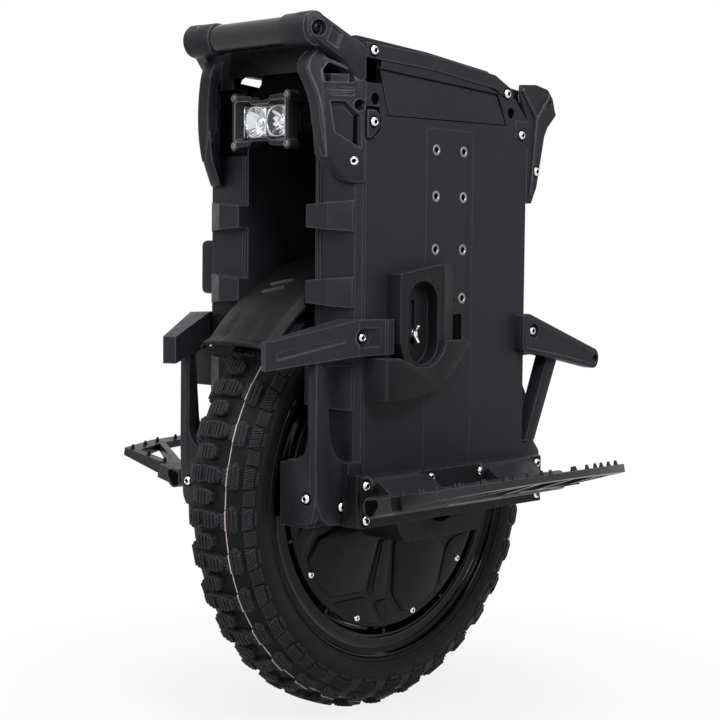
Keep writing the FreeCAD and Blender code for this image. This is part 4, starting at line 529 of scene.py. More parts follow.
def placed_group(tree, group, vector, **values):
    """A group set into a material with its own values."""
    node = tree.nodes.new("ShaderNodeGroup")
    node.node_tree = group
    tree.links.new(vector, node.inputs["Vector"])
    for label, value in values.items():
        node.inputs[label.replace("_", " ")].default_value = value
    return node


def new_material(name):
    """A material with its shader and the object's own coordinates."""
    material = bpy.data.materials.new(name)
    material.use_nodes = True
    tree = material.node_tree
    shader = tree.nodes["Principled BSDF"]
    coords = tree.nodes.new("ShaderNodeTexCoord")
    return material, tree, shader, coords.outputs["Object"]


# Finishes
MATERIALS = {}
DULL_SPECULAR = 0.13
ROUGHNESS_SWING = 0.05
GRAIN_STRENGTH = 0.6
EDGE_HIGHLIGHT_PALER = 7  # how many times paler the painted edge highlight is
METAL_GRAIN = 900.0
METAL_DEPTH = 0.00001


def dimmed(tone, share):
    """A tone at a share of its strength."""
    return [c * share for c in tone]


def black_finish(name, tone, rough, grain, depth, spread, rub=0.0, wide=0.0012, **sockets):
    """A dark coating or moulding: mottled tone and roughness, fine grain, and a painted highlight along
    sharp edges.

    Grain is per metre, depth and the width of the painted edge highlight are metres, spread is the share of
    mottling."""
    material, tree, shader, vector = new_material(name)
    skin = placed_group(tree, shared("grain", grain_group), vector, Grain_scale=grain)
    dark = dimmed(tone, 1 - spread) + [1]
    pale = dimmed(tone, 1 + spread) + [1]
    colour_out = blended(tree, "MIX", skin.outputs["Mottle"], dark, pale)
    # Painted highlight: the tone is paled along sharp edges, in patches, where a lamp would catch a bevel
    if rub:
        edge = placed_group(tree, shared("edge", edge_highlight_group), vector, Radius=wide)
        amount = arithmetic(tree, "MULTIPLY", edge.outputs["Highlight"], rub)
        painted_highlight = [min(1, c * EDGE_HIGHLIGHT_PALER) for c in tone] + [1]
        colour_out = blended(tree, "MIX", amount, colour_out, painted_highlight)
    tree.links.new(colour_out, shader.inputs["Base Color"])
    swing = mapped(tree, skin.outputs["Streak"], 0, 1, rough - ROUGHNESS_SWING, rough + ROUGHNESS_SWING)
    tree.links.new(swing, shader.inputs["Roughness"])
    bump = tree.nodes.new("ShaderNodeBump")
    bump.inputs["Strength"].default_value = GRAIN_STRENGTH
    bump.inputs["Distance"].default_value = depth
    tree.links.new(skin.outputs["Height"], bump.inputs["Height"])
    tree.links.new(bump.outputs["Normal"], shader.inputs["Normal"])
    shader.inputs["Specular IOR Level"].default_value = DULL_SPECULAR
    for label, value in sockets.items():
        shader.inputs[label.replace("_", " ")].default_value = value
    return material


def coating_rows(tone):
    """Short name, full name, tone, roughness, grain, depth, spread and what else sets a coating apart."""
    return (
        # Rows with an edge amount and width paint a highlight along the finish's sharp edges
        ("moulding", "grained black moulding", tone.moulding, 0.46, 1500.0, 5e-5, 0.16,
         {"rub": 0.8, "wide": 0.0020}),
        ("guard", "guard moulding", tone.moulding, 0.42, 1500.0, 5e-5, 0.16,
         {"rub": 1.0, "wide": 0.0022}),
        ("bar", "bar coating", dimmed(tone.moulding, 0.4), 0.3, 1700.0, 2e-5, 0.12,
         {"Specular_IOR_Level": 0.36}),
        ("box", "box moulding", tone.moulding, 0.44, 1700.0, 4e-5, 0.14, {"rub": 0.8, "wide": 0.0020}),
        ("panel", "satin panel sheet", tone.panel, 0.44, 2400.0, 1.8e-5, 0.08,
         {"rub": 0.6, "wide": 0.0014}),
        ("cast", "satin cast coating", tone.cast, 0.42, 1300.0, 5e-5, 0.15,
         {"rub": 0.8, "wide": 0.0018}),
        ("pedal", "pedal coating", tone.cast, 0.36, 1300.0, 4e-5, 0.2,
         {"rub": 0.7, "Specular_IOR_Level": 0.3}),
        ("spike", "blackened spikes", tone.cast, 0.36, 900.0, 2e-5, 0.2, {"Metallic": 0.7}),
        ("cover", "motor cover coating", tone.cover, 0.30, 1200.0, 3e-5, 0.12,
         {"rub": 0.6, "wide": 0.0016}),
        ("gloss", "gloss rim coating", tone.gloss, 0.14, 600.0, 6e-6, 0.1,
         {"Coat_Weight": 0.12, "Coat_Roughness": 0.05}),
        ("rubber", "tyre rubber", tone.rubber, 0.62, 1100.0, 7e-5, 0.25, {"rub": 0.75, "wide": 0.0010}),
        ("fender", "fender moulding", dimmed(tone.moulding, 0.22), 0.46, 1500.0, 4e-5, 0.2,
         {"rub": 0.4}),
        ("pad", "leg pad moulding", tone.pad, 0.5, 1400.0, 6e-5, 0.12, {"rub": 1.0, "wide": 0.0022}),
        # Near-black fill that paints the shade in openings, slots, grooves and sockets
        ("inside", "near-black fill of painted shade", dimmed(tone.moulding, 0.1), 0.8, 1500.0, 4e-5, 0.1,
         {"Specular_IOR_Level": 0.03}),
        ("bezel", "bezel coating", tone.cast, 0.32, 1500.0, 2e-5, 0.12, {"rub": 1.0, "wide": 0.0016}),
        # Pale grey for the bead of painted highlight on the bezel and for the bezel's screws
        ("edge", "pale bead of painted highlight, and bezel screws", tone.edge, 0.35, 1500.0, 2e-5, 0.25, {}),
        ("lamp_body", "lamp body coating", dimmed(tone.cast, 0.7), 0.38, 1500.0, 3e-5, 0.12,
         {"rub": 0.4}),
        ("thread", "pale tyre line", tone.thread, 0.7, 1200.0, 3e-5, 0.2, {}),
        ("wrap", "battery wrap", (0.05, 0.12, 0.30), 0.3, 500.0, 3e-5, 0.1, {}),
        ("board", "circuit board", (0.02, 0.13, 0.06), 0.4, 700.0, 3e-5, 0.2, {}),
        ("tail", "red lamp lens", (0.22, 0.008, 0.008), 0.15, 300.0, 3e-5, 0.15, {}),
        ("button", "button gloss", tone.gloss, 0.28, 900.0, 2e-5, 0.1, {}),
    )


def metal_rows(tone):
    """Short name, full name, tone, roughness and mottling of each bare or plated metal."""
    return (
        ("bright", "bright plated steel", tone.bright, 0.24, 0.12),
        ("steel", "machined steel", (0.45, 0.45, 0.45), 0.34, 0.12),
        ("insert", "blackened insert", (0.045, 0.045, 0.048), 0.34, 0.12),
        ("ring", "dull insert rim", (0.26, 0.26, 0.27), 0.42, 0.12),
        ("chrome", "mirror reflector", (0.74, 0.74, 0.75), 0.10, 0.03),
        ("iron", "laminated iron", (0.13, 0.12, 0.11), 0.5, 0.12),
        ("lamp_bulb", "bright bulb lens", (0.72, 0.73, 0.75), 0.12, 0.2),
    )


def make_materials():
    """Builds every finish under its short name."""
    settings = bpy.context.scene.unicycle_finishes
    for key, name, tone, rough, grain, depth, spread, others in coating_rows(settings):
        MATERIALS[key] = black_finish(name, tone, rough, grain, depth, spread, **others)
    for key, name, tone, rough, spread in metal_rows(settings):
        MATERIALS[key] = black_finish(name, tone, rough, METAL_GRAIN, METAL_DEPTH, spread, Metallic=1.0)
    MATERIALS["carcass"] = carcass_painted_shade_finish(settings.rubber)
    MATERIALS["glass"] = glass_finish()


def carcass_painted_shade_finish(tone):
    """Rubber with painted shade: darker from the sidewall up to the floor of the tread between the blocks,
    by distance from the axle.
    """
    sidewall, tread_floor = 0.204, 0.226
    sidewall_shade, floor_shade = 0.62, 0.26
    material = black_finish("tyre carcass with painted shade", tone, 0.6, 1100.0, 6e-5, 0.2)
    tree = material.node_tree
    shader = tree.nodes["Principled BSDF"]
    skin = shader.inputs["Base Color"].links[0].from_socket
    coords = tree.nodes.new("ShaderNodeTexCoord")
    split = tree.nodes.new("ShaderNodeSeparateXYZ")
    tree.links.new(coords.outputs["Object"], split.inputs[0])
    up = arithmetic(tree, "SUBTRACT", split.outputs["Z"], AXLE * MM)
    up_squared = arithmetic(tree, "MULTIPLY", up, up)
    back_squared = arithmetic(tree, "MULTIPLY", split.outputs["Y"], split.outputs["Y"])
    far = arithmetic(tree, "SQRT", arithmetic(tree, "ADD", up_squared, back_squared))
    # Painted shade, deepest on the tread floor between the blocks
    shade = mapped(tree, far, sidewall, tread_floor, sidewall_shade, floor_shade)
    tree.links.new(blended(tree, "MULTIPLY", 1.0, skin, shade), shader.inputs["Base Color"])
    return material


def glass_finish():
    """Clear lens with a trace of haze."""
    material, tree, shader, vector = new_material("clear lens")
    skin = placed_group(tree, shared("grain", grain_group), vector, Grain_scale=300.0)
    tree.links.new(mapped(tree, skin.outputs["Mottle"], 0, 1, 0.0, 0.04), shader.inputs["Roughness"])
    shader.inputs["Base Color"].default_value = (0.97, 0.98, 0.99, 1)
    shader.inputs["Transmission Weight"].default_value = 1.0
    shader.inputs["IOR"].default_value = 1.35
    return material


# Tyre; tread outlines are (around, across), with across measured from the crown
TREAD_HALF = ((-8.2, 2.2), (-9.6, 9), (-6.8, 18.0), (-2.6, 20.4), (3.6, 20.4), (7.6, 14.6), (9.0, 5.0))
TREAD_NARROW = (
    (-8.2, -6.0), (-3.8, -11.2), (3.8, -11.2), (8.2, -6.0),
    (8.2, 6.0), (3.8, 11.2), (-3.8, 11.2), (-8.2, 6.0),
)
TREAD_SHOULDER = (
    (-14.5, 28.5), (-11.5, 25.2), (10, 25.2), (14.5, 30),
    (14.5, 33.5), (10, 37.4), (-11.5, 37.4), (-14.5, 34.5),
)
TREAD_STEP = ((-8.5, 20.4), (-10.5, 26), (8.5, 26), (6.5, 20.4))
TREAD_SQUARE = ((-8.6, 42.5), (-8.6, 55), (8.6, 55), (8.6, 42.5))
TREAD_HATCH = ((-12.5, 41), (-12.5, 51.5), (10.5, 52.5), (12.5, 42))
TREAD_HEEL = ((-8, 54), (-8, 57.5), (7, 57.5), (7, 54.5))
HATCH_LINE = ((0, 41.8), (4.6, 51.4), (6.1, 51.4), (1.5, 41.8))
HATCH_LINES, HATCH_START, HATCH_STEP = 7, -12.6, 3.1

# Ridges on the blocks: (place across, reach around), or places alone
WIDE_RIDGES = ((4.9, 7.0), (9.0, 7.8), (13.1, 6.6), (17.2, 4.4))
NARROW_RIDGES = (-6.9, -2.3, 2.3, 6.9)
SHOULDER_RIDGES = ((27.6, 9.0), (31.3, 12.0), (35.0, 9.0))
STEP_RIDGES = (-5.4, -1.8, 1.8, 5.4)
RIDGE_HALF, NARROW_RIDGE_HALF, STEP_RIDGE_HALF = 1.3, 1.4, 1.0
NARROW_RIDGE_REACH = 6.6
RIDGE_TAPER = 0.1
RIDGE_LIP, FINE_LIP = 0.35, 0.3

# How far blocks stay below the full block height
CROWN_DROP, SHOULDER_DROP, STEP_RIDGE_DROP, STROKE_DROP = 0.4, 3.6, 2.6, 3.7
BLOCK_ROOT = -1.0
TREAD_RADIUS = 246

TYRE_SECTION = (
    (0, 241), (12, 240.4), (21, 238.2), (29, 234.4), (36, 228), (41.6, 218.5), (45.4, 207),
    (44.8, 198.5), (41, 192.6), (35.7, 188.3),
)
BEAD_SECTION = ((35.6, 179.4), (25.7, 179.4), (25.7, 188.3))
CARCASS_INSIDE = ((38.5, 208), (31, 225.5), (15, 233))
CROWN_INSIDE = (0, 234)
BEAD_RINGS = ((4.5, 1.6, 1.3), (9.5, 0.9, 0.7), (22, 0.6, 0.35), (24, 0.6, 0.35))
LINE_SECTION = ((24.1, -0.3), (24.9, -0.3), (24.9, 0.5), (24.1, 0.5))


class TyreSurface:
    """Half section of the carcass as (x, r) along its outside, measured from the crown by arc length."""

    def __init__(self):
        self.points = smooth_curve(np.array(TYRE_SECTION, float), 12)
        steps = np.linalg.norm(np.diff(self.points, axis=0), axis=1)
        self.along = np.concatenate([[0], np.cumsum(steps)])
        slope = np.gradient(self.points, self.along, axis=0)
        slope /= np.linalg.norm(slope, axis=1, keepdims=True)
        self.normals = np.stack([-slope[:, 1], slope[:, 0]], axis=1)

    def section(self, along):
        """x, r and the two parts of the outward normal at distances from the crown."""
        return (np.interp(along, self.along, col) for col in (*self.points.T, *self.normals.T))

    def at(self, around, across, height):
        """Points a height off the surface; around is degrees, across is arc length from the crown."""
        sign = np.where(across < 0, -1.0, 1.0)
        x, r, nx, nr = self.section(np.abs(across))
        x = sign * (x + height * nx)
        r = r + height * nr
        t = np.radians(around)
        return np.stack([x, r * np.sin(t), AXLE + r * np.cos(t)], axis=-1)


def tread_blocks(surface, outline, height, angles, side, taper=1.2, lip=0.9):
    """One block outline raised off the tyre at many angles, with sloped sides and a chamfered top."""
    outline = anticlockwise(outline)
    levels = ((BLOCK_ROOT, -taper), (height - lip, 0.0), (height, lip))
    rings = np.stack([inset(outline, by) for _, by in levels])
    heights = np.array([h for h, _ in levels])[:, None]
    mm_to_deg = 360 / (2 * math.pi * TREAD_RADIUS)
    around = rings[None, ..., 0] * mm_to_deg + np.asarray(angles)[:, None, None]
    across = np.broadcast_to(rings[None, ..., 1] * side, around.shape)
    points = surface.at(around, across, np.broadcast_to(heights[None], around.shape))
    size = len(outline)
    faces = grid_faces(len(levels), size, close_cols=True)
    faces.append(list(range((len(levels) - 1) * size, len(levels) * size)))
    return copies(points.reshape(len(angles), -1, 3), faces, len(angles))


def bar(t0, t1, s0, s1):
    """A straight bar's outline in (around, across)."""
    return ((t0, s0), (t0, s1), (t1, s1), (t1, s0))


def tread_parts(surface, tread):
    """Each pitch has a wide and a narrow block on the crown, and on both sides a shoulder block, a step
    up to it and flat sidewall blocks. Blocks stop a slit's depth short of their height; ridges reach it."""
    height = tread.block_height / MM - CROWN_DROP
    low = height - SHOULDER_DROP
    slit = tread.sipe_depth / MM
    step = 360 / tread.pitches
    narrow_at = np.arange(tread.pitches) * step
    wide_at = narrow_at + step / 2
    half = np.array(TREAD_HALF)
    wide = np.concatenate([half, (half * (1, -1))[::-1]])
    blocks = []

    def raise_block(outline, rise, angles, side, *edges):
        blocks.append(tread_blocks(surface, outline, rise, angles, side, *edges))

    def raise_ridge(outline, rise, angles, side, lip=RIDGE_LIP):
        raise_block(outline, rise, angles, side, RIDGE_TAPER, lip)

    raise_block(wide, height - slit, wide_at, 1)
    raise_block(TREAD_NARROW, height - slit, narrow_at, 1)
    for place, reach in WIDE_RIDGES:
        for side in (1, -1):
            raise_ridge(bar(-reach, reach, place - RIDGE_HALF, place + RIDGE_HALF), height, wide_at, side)
    for place in NARROW_RIDGES:
        ridge = bar(
            -NARROW_RIDGE_REACH, NARROW_RIDGE_REACH, place - NARROW_RIDGE_HALF, place + NARROW_RIDGE_HALF,
        )
        raise_ridge(ridge, height, narrow_at, 1)
    for side in (1, -1):
        raise_block(TREAD_SHOULDER, low - slit, wide_at, side, 1.6)
        for place, reach in SHOULDER_RIDGES:
            raise_ridge(bar(-reach, reach, place - RIDGE_HALF, place + RIDGE_HALF), low, wide_at, side)
        raise_block(TREAD_STEP, low, wide_at, side)
        for place in STEP_RIDGES:
            ridge = bar(place - STEP_RIDGE_HALF, place + STEP_RIDGE_HALF, 21.0, 24.6)
            raise_ridge(ridge, height - STEP_RIDGE_DROP, wide_at, side, FINE_LIP)
        raise_block(TREAD_SQUARE, 2.0, narrow_at, side, 1.6, 0.7)
        raise_block(TREAD_HATCH, 1.6, wide_at, side, 0.9, 0.4)
        raise_block(TREAD_HEEL, 1.8, wide_at, side, 0.8, 0.4)
        for index in range(HATCH_LINES):
            line = np.array(HATCH_LINE) + (HATCH_START + index * HATCH_STEP, 0)
            raise_ridge(line, 3.4, wide_at, side, FINE_LIP)
    return blocks


def carcass_profile(surface):
    """Closed section: the outside, lifted by a bell curve at each bead ring, then bead and inside."""
    edge = surface.along[-1]
    rings = [(edge - up, wide, high) for up, wide, high in BEAD_RINGS]
    stops = [np.linspace(0, edge, 46)]
    stops += [centre + wide * np.linspace(-1.6, 1.6, 7) for centre, wide, _ in rings]
    along = np.unique(np.concatenate(stops))
    along = along[along <= edge]
    lift = sum(high * np.exp(-(((along - centre) / wide) ** 2)) for centre, wide, high in rings)
    x, r, nx, nr = surface.section(along)
    outer = np.stack([x + lift * nx, r + lift * nr], axis=1)
    half = np.concatenate([outer[1:], BEAD_SECTION, CARCASS_INSIDE])
    return np.concatenate([[outer[0]], half, [CROWN_INSIDE], (half * (-1, 1))[::-1]])


def make_tyre():
    """The carcass turned about the axle, the tread blocks on it, and the pale line on one side."""
    tread = bpy.context.scene.unicycle_tread
    surface = TyreSurface()
    blocks = tread_parts(surface, tread)
    carcass = turned_ring(carcass_profile(surface), tread.pitches * 6)
    piece("tyre_carcass", [carcass], "carcass", "wheel", ["tyre"], sharp=60)
    piece("tyre_tread", blocks, "rubber", "wheel", sharp=30)
    angle = np.arange(0, 360, 2.0)
    across, high = np.array(LINE_SECTION).T
    line = closed_tube(surface.at(angle[:, None], np.broadcast_to(across, (len(angle), 4)), high[None]))
    over = (np.arange(tread.pitches) + 0.5) * 360 / tread.pitches
    rise = tread.block_height / MM - STROKE_DROP
    strokes = tread_blocks(surface, bar(-11, 9.4, 25.4, 26.2), rise, over, 1, RIDGE_TAPER, 0.2)
    piece("tyre_line", [line, strokes], "thread", "wheel")


# Rim and motor covers; cover outlines are (r, degrees from straight down)
RIM_SIDE = (
    (37.6, 190.2), (39.6, 189.6), (40.4, 188.4), (39.6, 187.0), (36.6, 185.6), (34.4, 182.8), (33.6, 180.8),
    (34.8, 179.6), (33.0, 177.8), (31.4, 172.5), (32.6, 168.2), (34.6, 166.4), (34.8, 164.6), (32.0, 163.2),
    (27.0, 162.6), (24.0, 160.4), (24.0, 157.4), (20, 157.4),
)
RIM_WELL = ((36, 186), (33, 179), (20, 175.5))
RIM_RIB = ((158, -0.75), (158, 0.75), (164.2, 0.75), (164.2, -0.75))
RIM_RIBS, RIM_RIB_START = 10, -2.9
COVER_EDGE = (
    (22, 156.6), (33.8, 156.6), (35.4, 155.2), (35.8, 151.5), (35.0, 143), (34.4, 100),
    (34.4, 40), (22, 40),
)
COVER_PANEL = ((60, -64), (122, -69.4), (146, -63), (148.4, -52), (147, -41), (120.5, -21.4), (60, -20))
COVER_LEAF = ((149, -38), (124.5, -19.8), (127.5, -14.8), (153.8, -5.8), (154.2, -21), (152.6, -33))
COVER_WEDGE = ((128.5, -11.8), (124.5, -1.5), (146, 5.2), (153.8, 6.8), (154, -2.6))
COVER_SPOKE = ((58, -15.5), (117, -17.6), (123.5, -13.2), (121, -3.5), (58, 2.5))
COVER_RIDGE = ((58, -12.5), (112, -14.8), (119, -12.4), (112, -12.4), (58, -9.5))
COVER_RELIEF = (
    (COVER_PANEL, 38.4, 2.8), (COVER_LEAF, 36.6, 1.3), (COVER_WEDGE, 36.6, 1.3),
    (COVER_SPOKE, 36.2, 1.4), (COVER_RIDGE, 37.8, 0.8),
)
COVER_SECTORS = 5
COVER_ROOT = 33.0


def polar(outline, turn):
    """(r, degrees from straight down, positive to the rear) as (y, z)."""
    r, angle = np.array(outline, float).T
    angle = np.radians(angle + turn)
    return np.stack([r * np.sin(angle), AXLE - r * np.cos(angle)], axis=1)


def make_rim():
    """Both lips and the well in one turned section, and short ribs inside the lips."""
    side = np.array(RIM_SIDE)
    well = np.array(RIM_WELL)
    profile = np.concatenate([side, (side * (-1, 1))[::-1], well * (-1, 1), well[::-1]])
    levels = ((29, 0), (35.6, 0), (36.2, 0.5))
    turns = (360 / RIM_RIBS * n + RIM_RIB_START for n in range(RIM_RIBS))
    ribs = [slab(polar(RIM_RIB, turn), levels, on_x()) for turn in turns]
    parts = [turned_ring(profile, 180)] + both(ribs)
    piece("rim_band", parts, "gloss", "wheel", ["rim"], sharp=50)


def make_covers():
    """A turned disc with raised panels that repeat in five sectors, each with a rounded edge."""
    parts = [turned_ring(COVER_EDGE, 144)]
    for n in range(COVER_SECTORS):
        for outline, rise, edge in COVER_RELIEF:
            flank = ((COVER_ROOT, -0.6), (rise - edge * 0.7, 0))
            levels = (*flank, (rise - edge * 0.1, edge * 0.6), (rise, edge))
            parts.append(slab(polar(outline, 360 / COVER_SECTORS * n), levels, on_x(), 5))
    for side, own in each_side(parts):
        node = "motor_cover_" + side
        piece("motor_cover_relief_" + side, own, "cover", "wheel", [node], sharp=24)


# Front corner guards: a face across the corner at about 45 degrees, and an arm up to the handle bar.
# Their outlines are (distance from the corner of the box, height)
GUARD_CORNER = np.array([118.6, -131.7])
GUARD_FRONT = np.array([87.0, -166.0])
BAR_END = np.array([97.0, -180.0])
BAR_AXIS = (-180.0, 738.7)
GUARD_FACE = (
    (0, 585), (18, 585), (42, 613), (46, 659), (51, 677), (60, 697), (58.5, 712), (49, 719),
    (39.5, 711), (17.8, 701.5), (12, 694), (0, 690),
)
GUARD_WINDOW = ((45, 698), (39.5, 706.5), (14.5, 696.5), (11.5, 686), (42.5, 686))
GUARD_POCKET = ((36, 667), (20.6, 667), (5.2, 651.5), (5.2, 620.5), (31, 636))
GUARD_LEDGE = ((14, 684), (33, 684), (33, 695), (14, 695))
GUARD_HOLE = (6.6, 663.6)
GUARD_SLITS = (674.0, 679.2)
GUARD_ARM = (
    (0, 688), (9, 688), (25, 708), (58, 729.5), (66, 734), (70, 742), (68, 750), (62, 755.5), (54, 756),
    (12, 730), (0, 723),
)
ARM_PANEL = ((38, 741.5), (27.5, 733.5), (32.5, 719.5), (43.5, 726.5))
ARM_EYE = (52.9, 738.7)
SLEEVE = ((52.6, 15.2), (53.2, 16.6), (54.4, 17.2), (80, 17.4), (92, 17.4))
TAB_OUTLINE = ((-131.4, 630.4), (-124.8, 630.4), (-112, 641.5), (-112, 655.5), (-118, 660), (-131.4, 660))
GUARD_CREASE = (
    (41.5, 611), (44.6, 634), (46.4, 659), (51, 677), (56.8, 691), (60, 700), (58, 709), (51, 718),
)
HORN_SECTION = (
    (0.3, 3.0), (-0.4, -0.4), (-2.6, -1.8), (-13.6, -1.8), (-16.4, -0.6), (-17.6, 2.4), (-17.6, 11),
    (-14, 14), (-3, 15),
)
BOW_OUT = np.array([0.735, -0.678, 0.0])
BOW_SWELL, BOW_HEIGHT, BOW_HALF, BOW_REACH = 11, 655, 70, 42


def across_corner(start, end):
    """(u, z, depth) on an upright plane from start to end in plan; depth is along x."""
    way = unit_way(start, end)

    def place(p):
        u, z, depth = p[..., 0], p[..., 1], p[..., 2]
        return np.stack([start[0] + way[0] * u + depth, start[1] + way[1] * u, z], axis=-1)

    return place


def bowed(u, z):
    """How far a corner guard swells outwards: most at mid height, nothing at the corner of the box."""
    share = np.clip(1 - ((z - BOW_HEIGHT) / BOW_HALF) ** 2, 0, 1) * np.clip(u / BOW_REACH, 0, 1)
    return (BOW_SWELL * share)[..., None] * BOW_OUT


def horn():
    """Front edge of a corner guard: a section carried up along the face's crease, slimmer at its foot."""
    crease = smooth_curve(np.array(GUARD_CREASE, float), 5)
    foot = GUARD_CORNER + unit_way(GUARD_CORNER, GUARD_FRONT) * crease[:, :1]
    slimmer = np.interp(crease[:, 1], (611, 646), (0.3, 1.0))[:, None, None]
    plan = foot[:, None, :] + slimmer * np.array(HORN_SECTION)[None]
    height = np.broadcast_to(crease[:, 1:], plan.shape[:2])
    points = np.concatenate([plan, height[..., None]], axis=2)
    return capped(points + bowed(crease[:, :1] + 0 * height, height))


def front_guard_parts():
    """Plate with window, pocket and slits, horn, arm, ledge, sleeve and tab; then near-black sheets of
    painted shade behind the window and the hole.
    """
    flat = across_corner(GUARD_CORNER, GUARD_FRONT)
    on_arm = across_corner(GUARD_CORNER, BAR_END)

    def on_face(p):
        return flat(p) + bowed(p[..., 0], p[..., 1])

    through = ((3, -1), (-0.5, 0), (-24, 0))
    cutters = [
        slab(GUARD_WINDOW, through, on_face, 2.5),
        slab(GUARD_POCKET, ((3, -1.6), (0.2, -0.6), (-8.5, 1.6)), on_face),
        slab(circle(*GUARD_HOLE, 6.0), through, on_face),
    ]
    for z in GUARD_SLITS:
        cutters.append(slab(oblong(13, 40, z - 1.3, z + 1.3), ((2, -0.3), (-2.6, 0.2)), on_face, 1.0))
    plate = slab(GUARD_FACE, ((-17, 0.8), (-15, 0), (-2.4, 0), (-0.7, 0.7), (0, 2.4)), on_face, 4)
    arm = slab(GUARD_ARM, ((-19, 2), (-17, 0), (-2.6, 0), (-0.8, 0.8), (0, 2.6)), on_arm, 4)
    arm_cutters = [
        slab(ARM_PANEL, ((2, -1.2), (0, -0.6), (-2.4, 0.8)), on_arm),
        slab(circle(*ARM_EYE, 8.2), ((2, -0.6), (0, 0), (-6.2, 0.6)), on_arm),
    ]
    parts = [
        carved(plate, cutters),
        horn(),
        carved(arm, arm_cutters),
        slab(GUARD_LEDGE, ((-15, 0), (-6, 0), (-5, 1)), on_face),
        rod_along_x(*BAR_AXIS, SLEEVE),
        slab(TAB_OUTLINE, ((114, 0), (118, 0), (119.2, 1.2)), on_x(), 2),
    ]
    # Near-black sheets behind the window and the hole: painted shade
    window_shade = [
        slab(GUARD_WINDOW, ((-17.4, -2.5), (-16.4, -2.5)), on_face),
        slab(circle(*GUARD_HOLE, 8.0), ((-15.5, 0), (-14.5, 0)), on_face),
    ]
    return parts, window_shade


def make_front_guards():
    """Both guards, and the near-black sheets of painted shade behind their windows and holes."""
    parts, window_shade = front_guard_parts()
    for side, own in each_side(parts):
        node = "front_guard_" + side
        piece("corner_guard_" + side, own, "guard", "chassis", [node], sharp=32)
    piece("guard_window_painted_shade", both(window_shade), "inside", "chassis")


# Headlight; outlines are quarters, (x, height above the lamp's middle)
LAMP_Z = 651.0
BEZEL_OUTER = ((12, 21.5), (16.5, 26), (36, 27.5), (43, 22.5))
BEZEL_OPENING = ((12, 17.2), (16.5, 20.4), (35.5, 21.2), (38.2, 18.4))
BEZEL_INNER = ((12, 16.2), (16.5, 16.8), (31.5, 16.8), (33, 15.4))
LENS_OUTLINE = ((12, 16.0), (16.5, 16.6), (31.2, 16.6), (32.8, 15.2))
BEZEL_BACK, BEZEL_FRONT = -157.0, -170.0
EAR_X, EAR_Z, EAR_FRONT = 40.5, 25.2, -170.4
CELL_HALF, BOWL_RADIUS, BOWL_DEPTH, BOWL_FRONT = 16.8, 15.6, 11.5, -160.2
BOWL_FACETS, FACET_DEPTH = 12, 0.35
BULB_RINGS = ((1.0, 0.0), (1.0, 0.25), (0.92, 0.55), (0.7, 0.82), (0.4, 0.96), (0.08, 1.0))


def four_ways(quarter):
    """A quarter outline mirrored into a whole one, anticlockwise from the upper right."""
    q = np.array(quarter, float)
    return np.concatenate([q, (q * (1, -1))[::-1], q * (-1, -1), (q * (-1, 1))[::-1]])[::-1]


def at_lamp(outline, y):
    """An outline round the lamp's middle, stood upright at y."""
    return np.column_stack([outline[:, 0], np.full(len(outline), y), LAMP_Z + outline[:, 1]])


def lamp_rings(rows):
    """Outlines at their depths, in order."""
    return np.stack([at_lamp(outline, y) for outline, y in rows])


def make_headlight():
    """Bezel with a pale bead as a painted edge highlight, ears and screws, then mirror, bulbs and lens."""
    outer, opening, inner, lens = map(four_ways, (BEZEL_OUTER, BEZEL_OPENING, BEZEL_INNER, LENS_OUTLINE))
    ring = lamp_rings((
        (outer, BEZEL_BACK), (outer, -168.6), (outer * 0.985, BEZEL_FRONT), (opening * 1.02, BEZEL_FRONT),
        (opening, -169.2), (inner, -160.4), (inner, BEZEL_BACK),
    ))
    # Pale bead round the opening: a painted highlight on the bezel's edge
    bead = lamp_rings((
        (opening * 1.035, -169.9), (opening * 1.03, -170.5), (opening * 1.005, -170.5), (opening, -169.9),
    ))
    piece("bezel_edge_painted_highlight", [closed_tube(bead)], "edge", "headlight", sharp=20)
    ears, bolts = [], []
    points, faces = button_head(3.6, 1.4, 1.7, 1.2, 18)
    for u in (-EAR_X, EAR_X):
        for v in (LAMP_Z - EAR_Z, LAMP_Z + EAR_Z):
            levels = ((BEZEL_BACK, 0), (-169.4, 0), (EAR_FRONT, 1.0))
            ears.append(slab(circle(u, v, 5.4, 20), levels, on_y()))
            head = np.stack([points[:, 1] + u, EAR_FRONT - points[:, 0], points[:, 2] + v], axis=1)
            bolts.append((head, faces))
    bezel = [closed_tube(ring)] + ears
    piece("lamp_bezel", bezel, "bezel", "headlight", ["headlight_bezel"], sharp=30)
    piece("bezel_screws", bolts, "edge", "headlight")
    cells = [reflector_cell(x) for x in (CELL_HALF, -CELL_HALF)]
    node = "headlight_reflectors"
    made = piece("lamp_reflectors", cells, "chrome", "headlight", [node], sharp=40)
    wall = made.modifiers.new("wall", "SOLIDIFY")
    wall.thickness = 0.6 * MM
    bulbs = [dome(x, -149.0, LAMP_Z, 6.6, 7.0) for x in (CELL_HALF, -CELL_HALF)]
    piece("lamp_projectors", bulbs, "lamp_bulb", "headlight", sharp=40)
    pane = capped(lamp_rings(((lens, -162.2), (lens, -160.8))))
    piece("lamp_pane", [pane], "glass", "headlight", ["headlight_lens"])


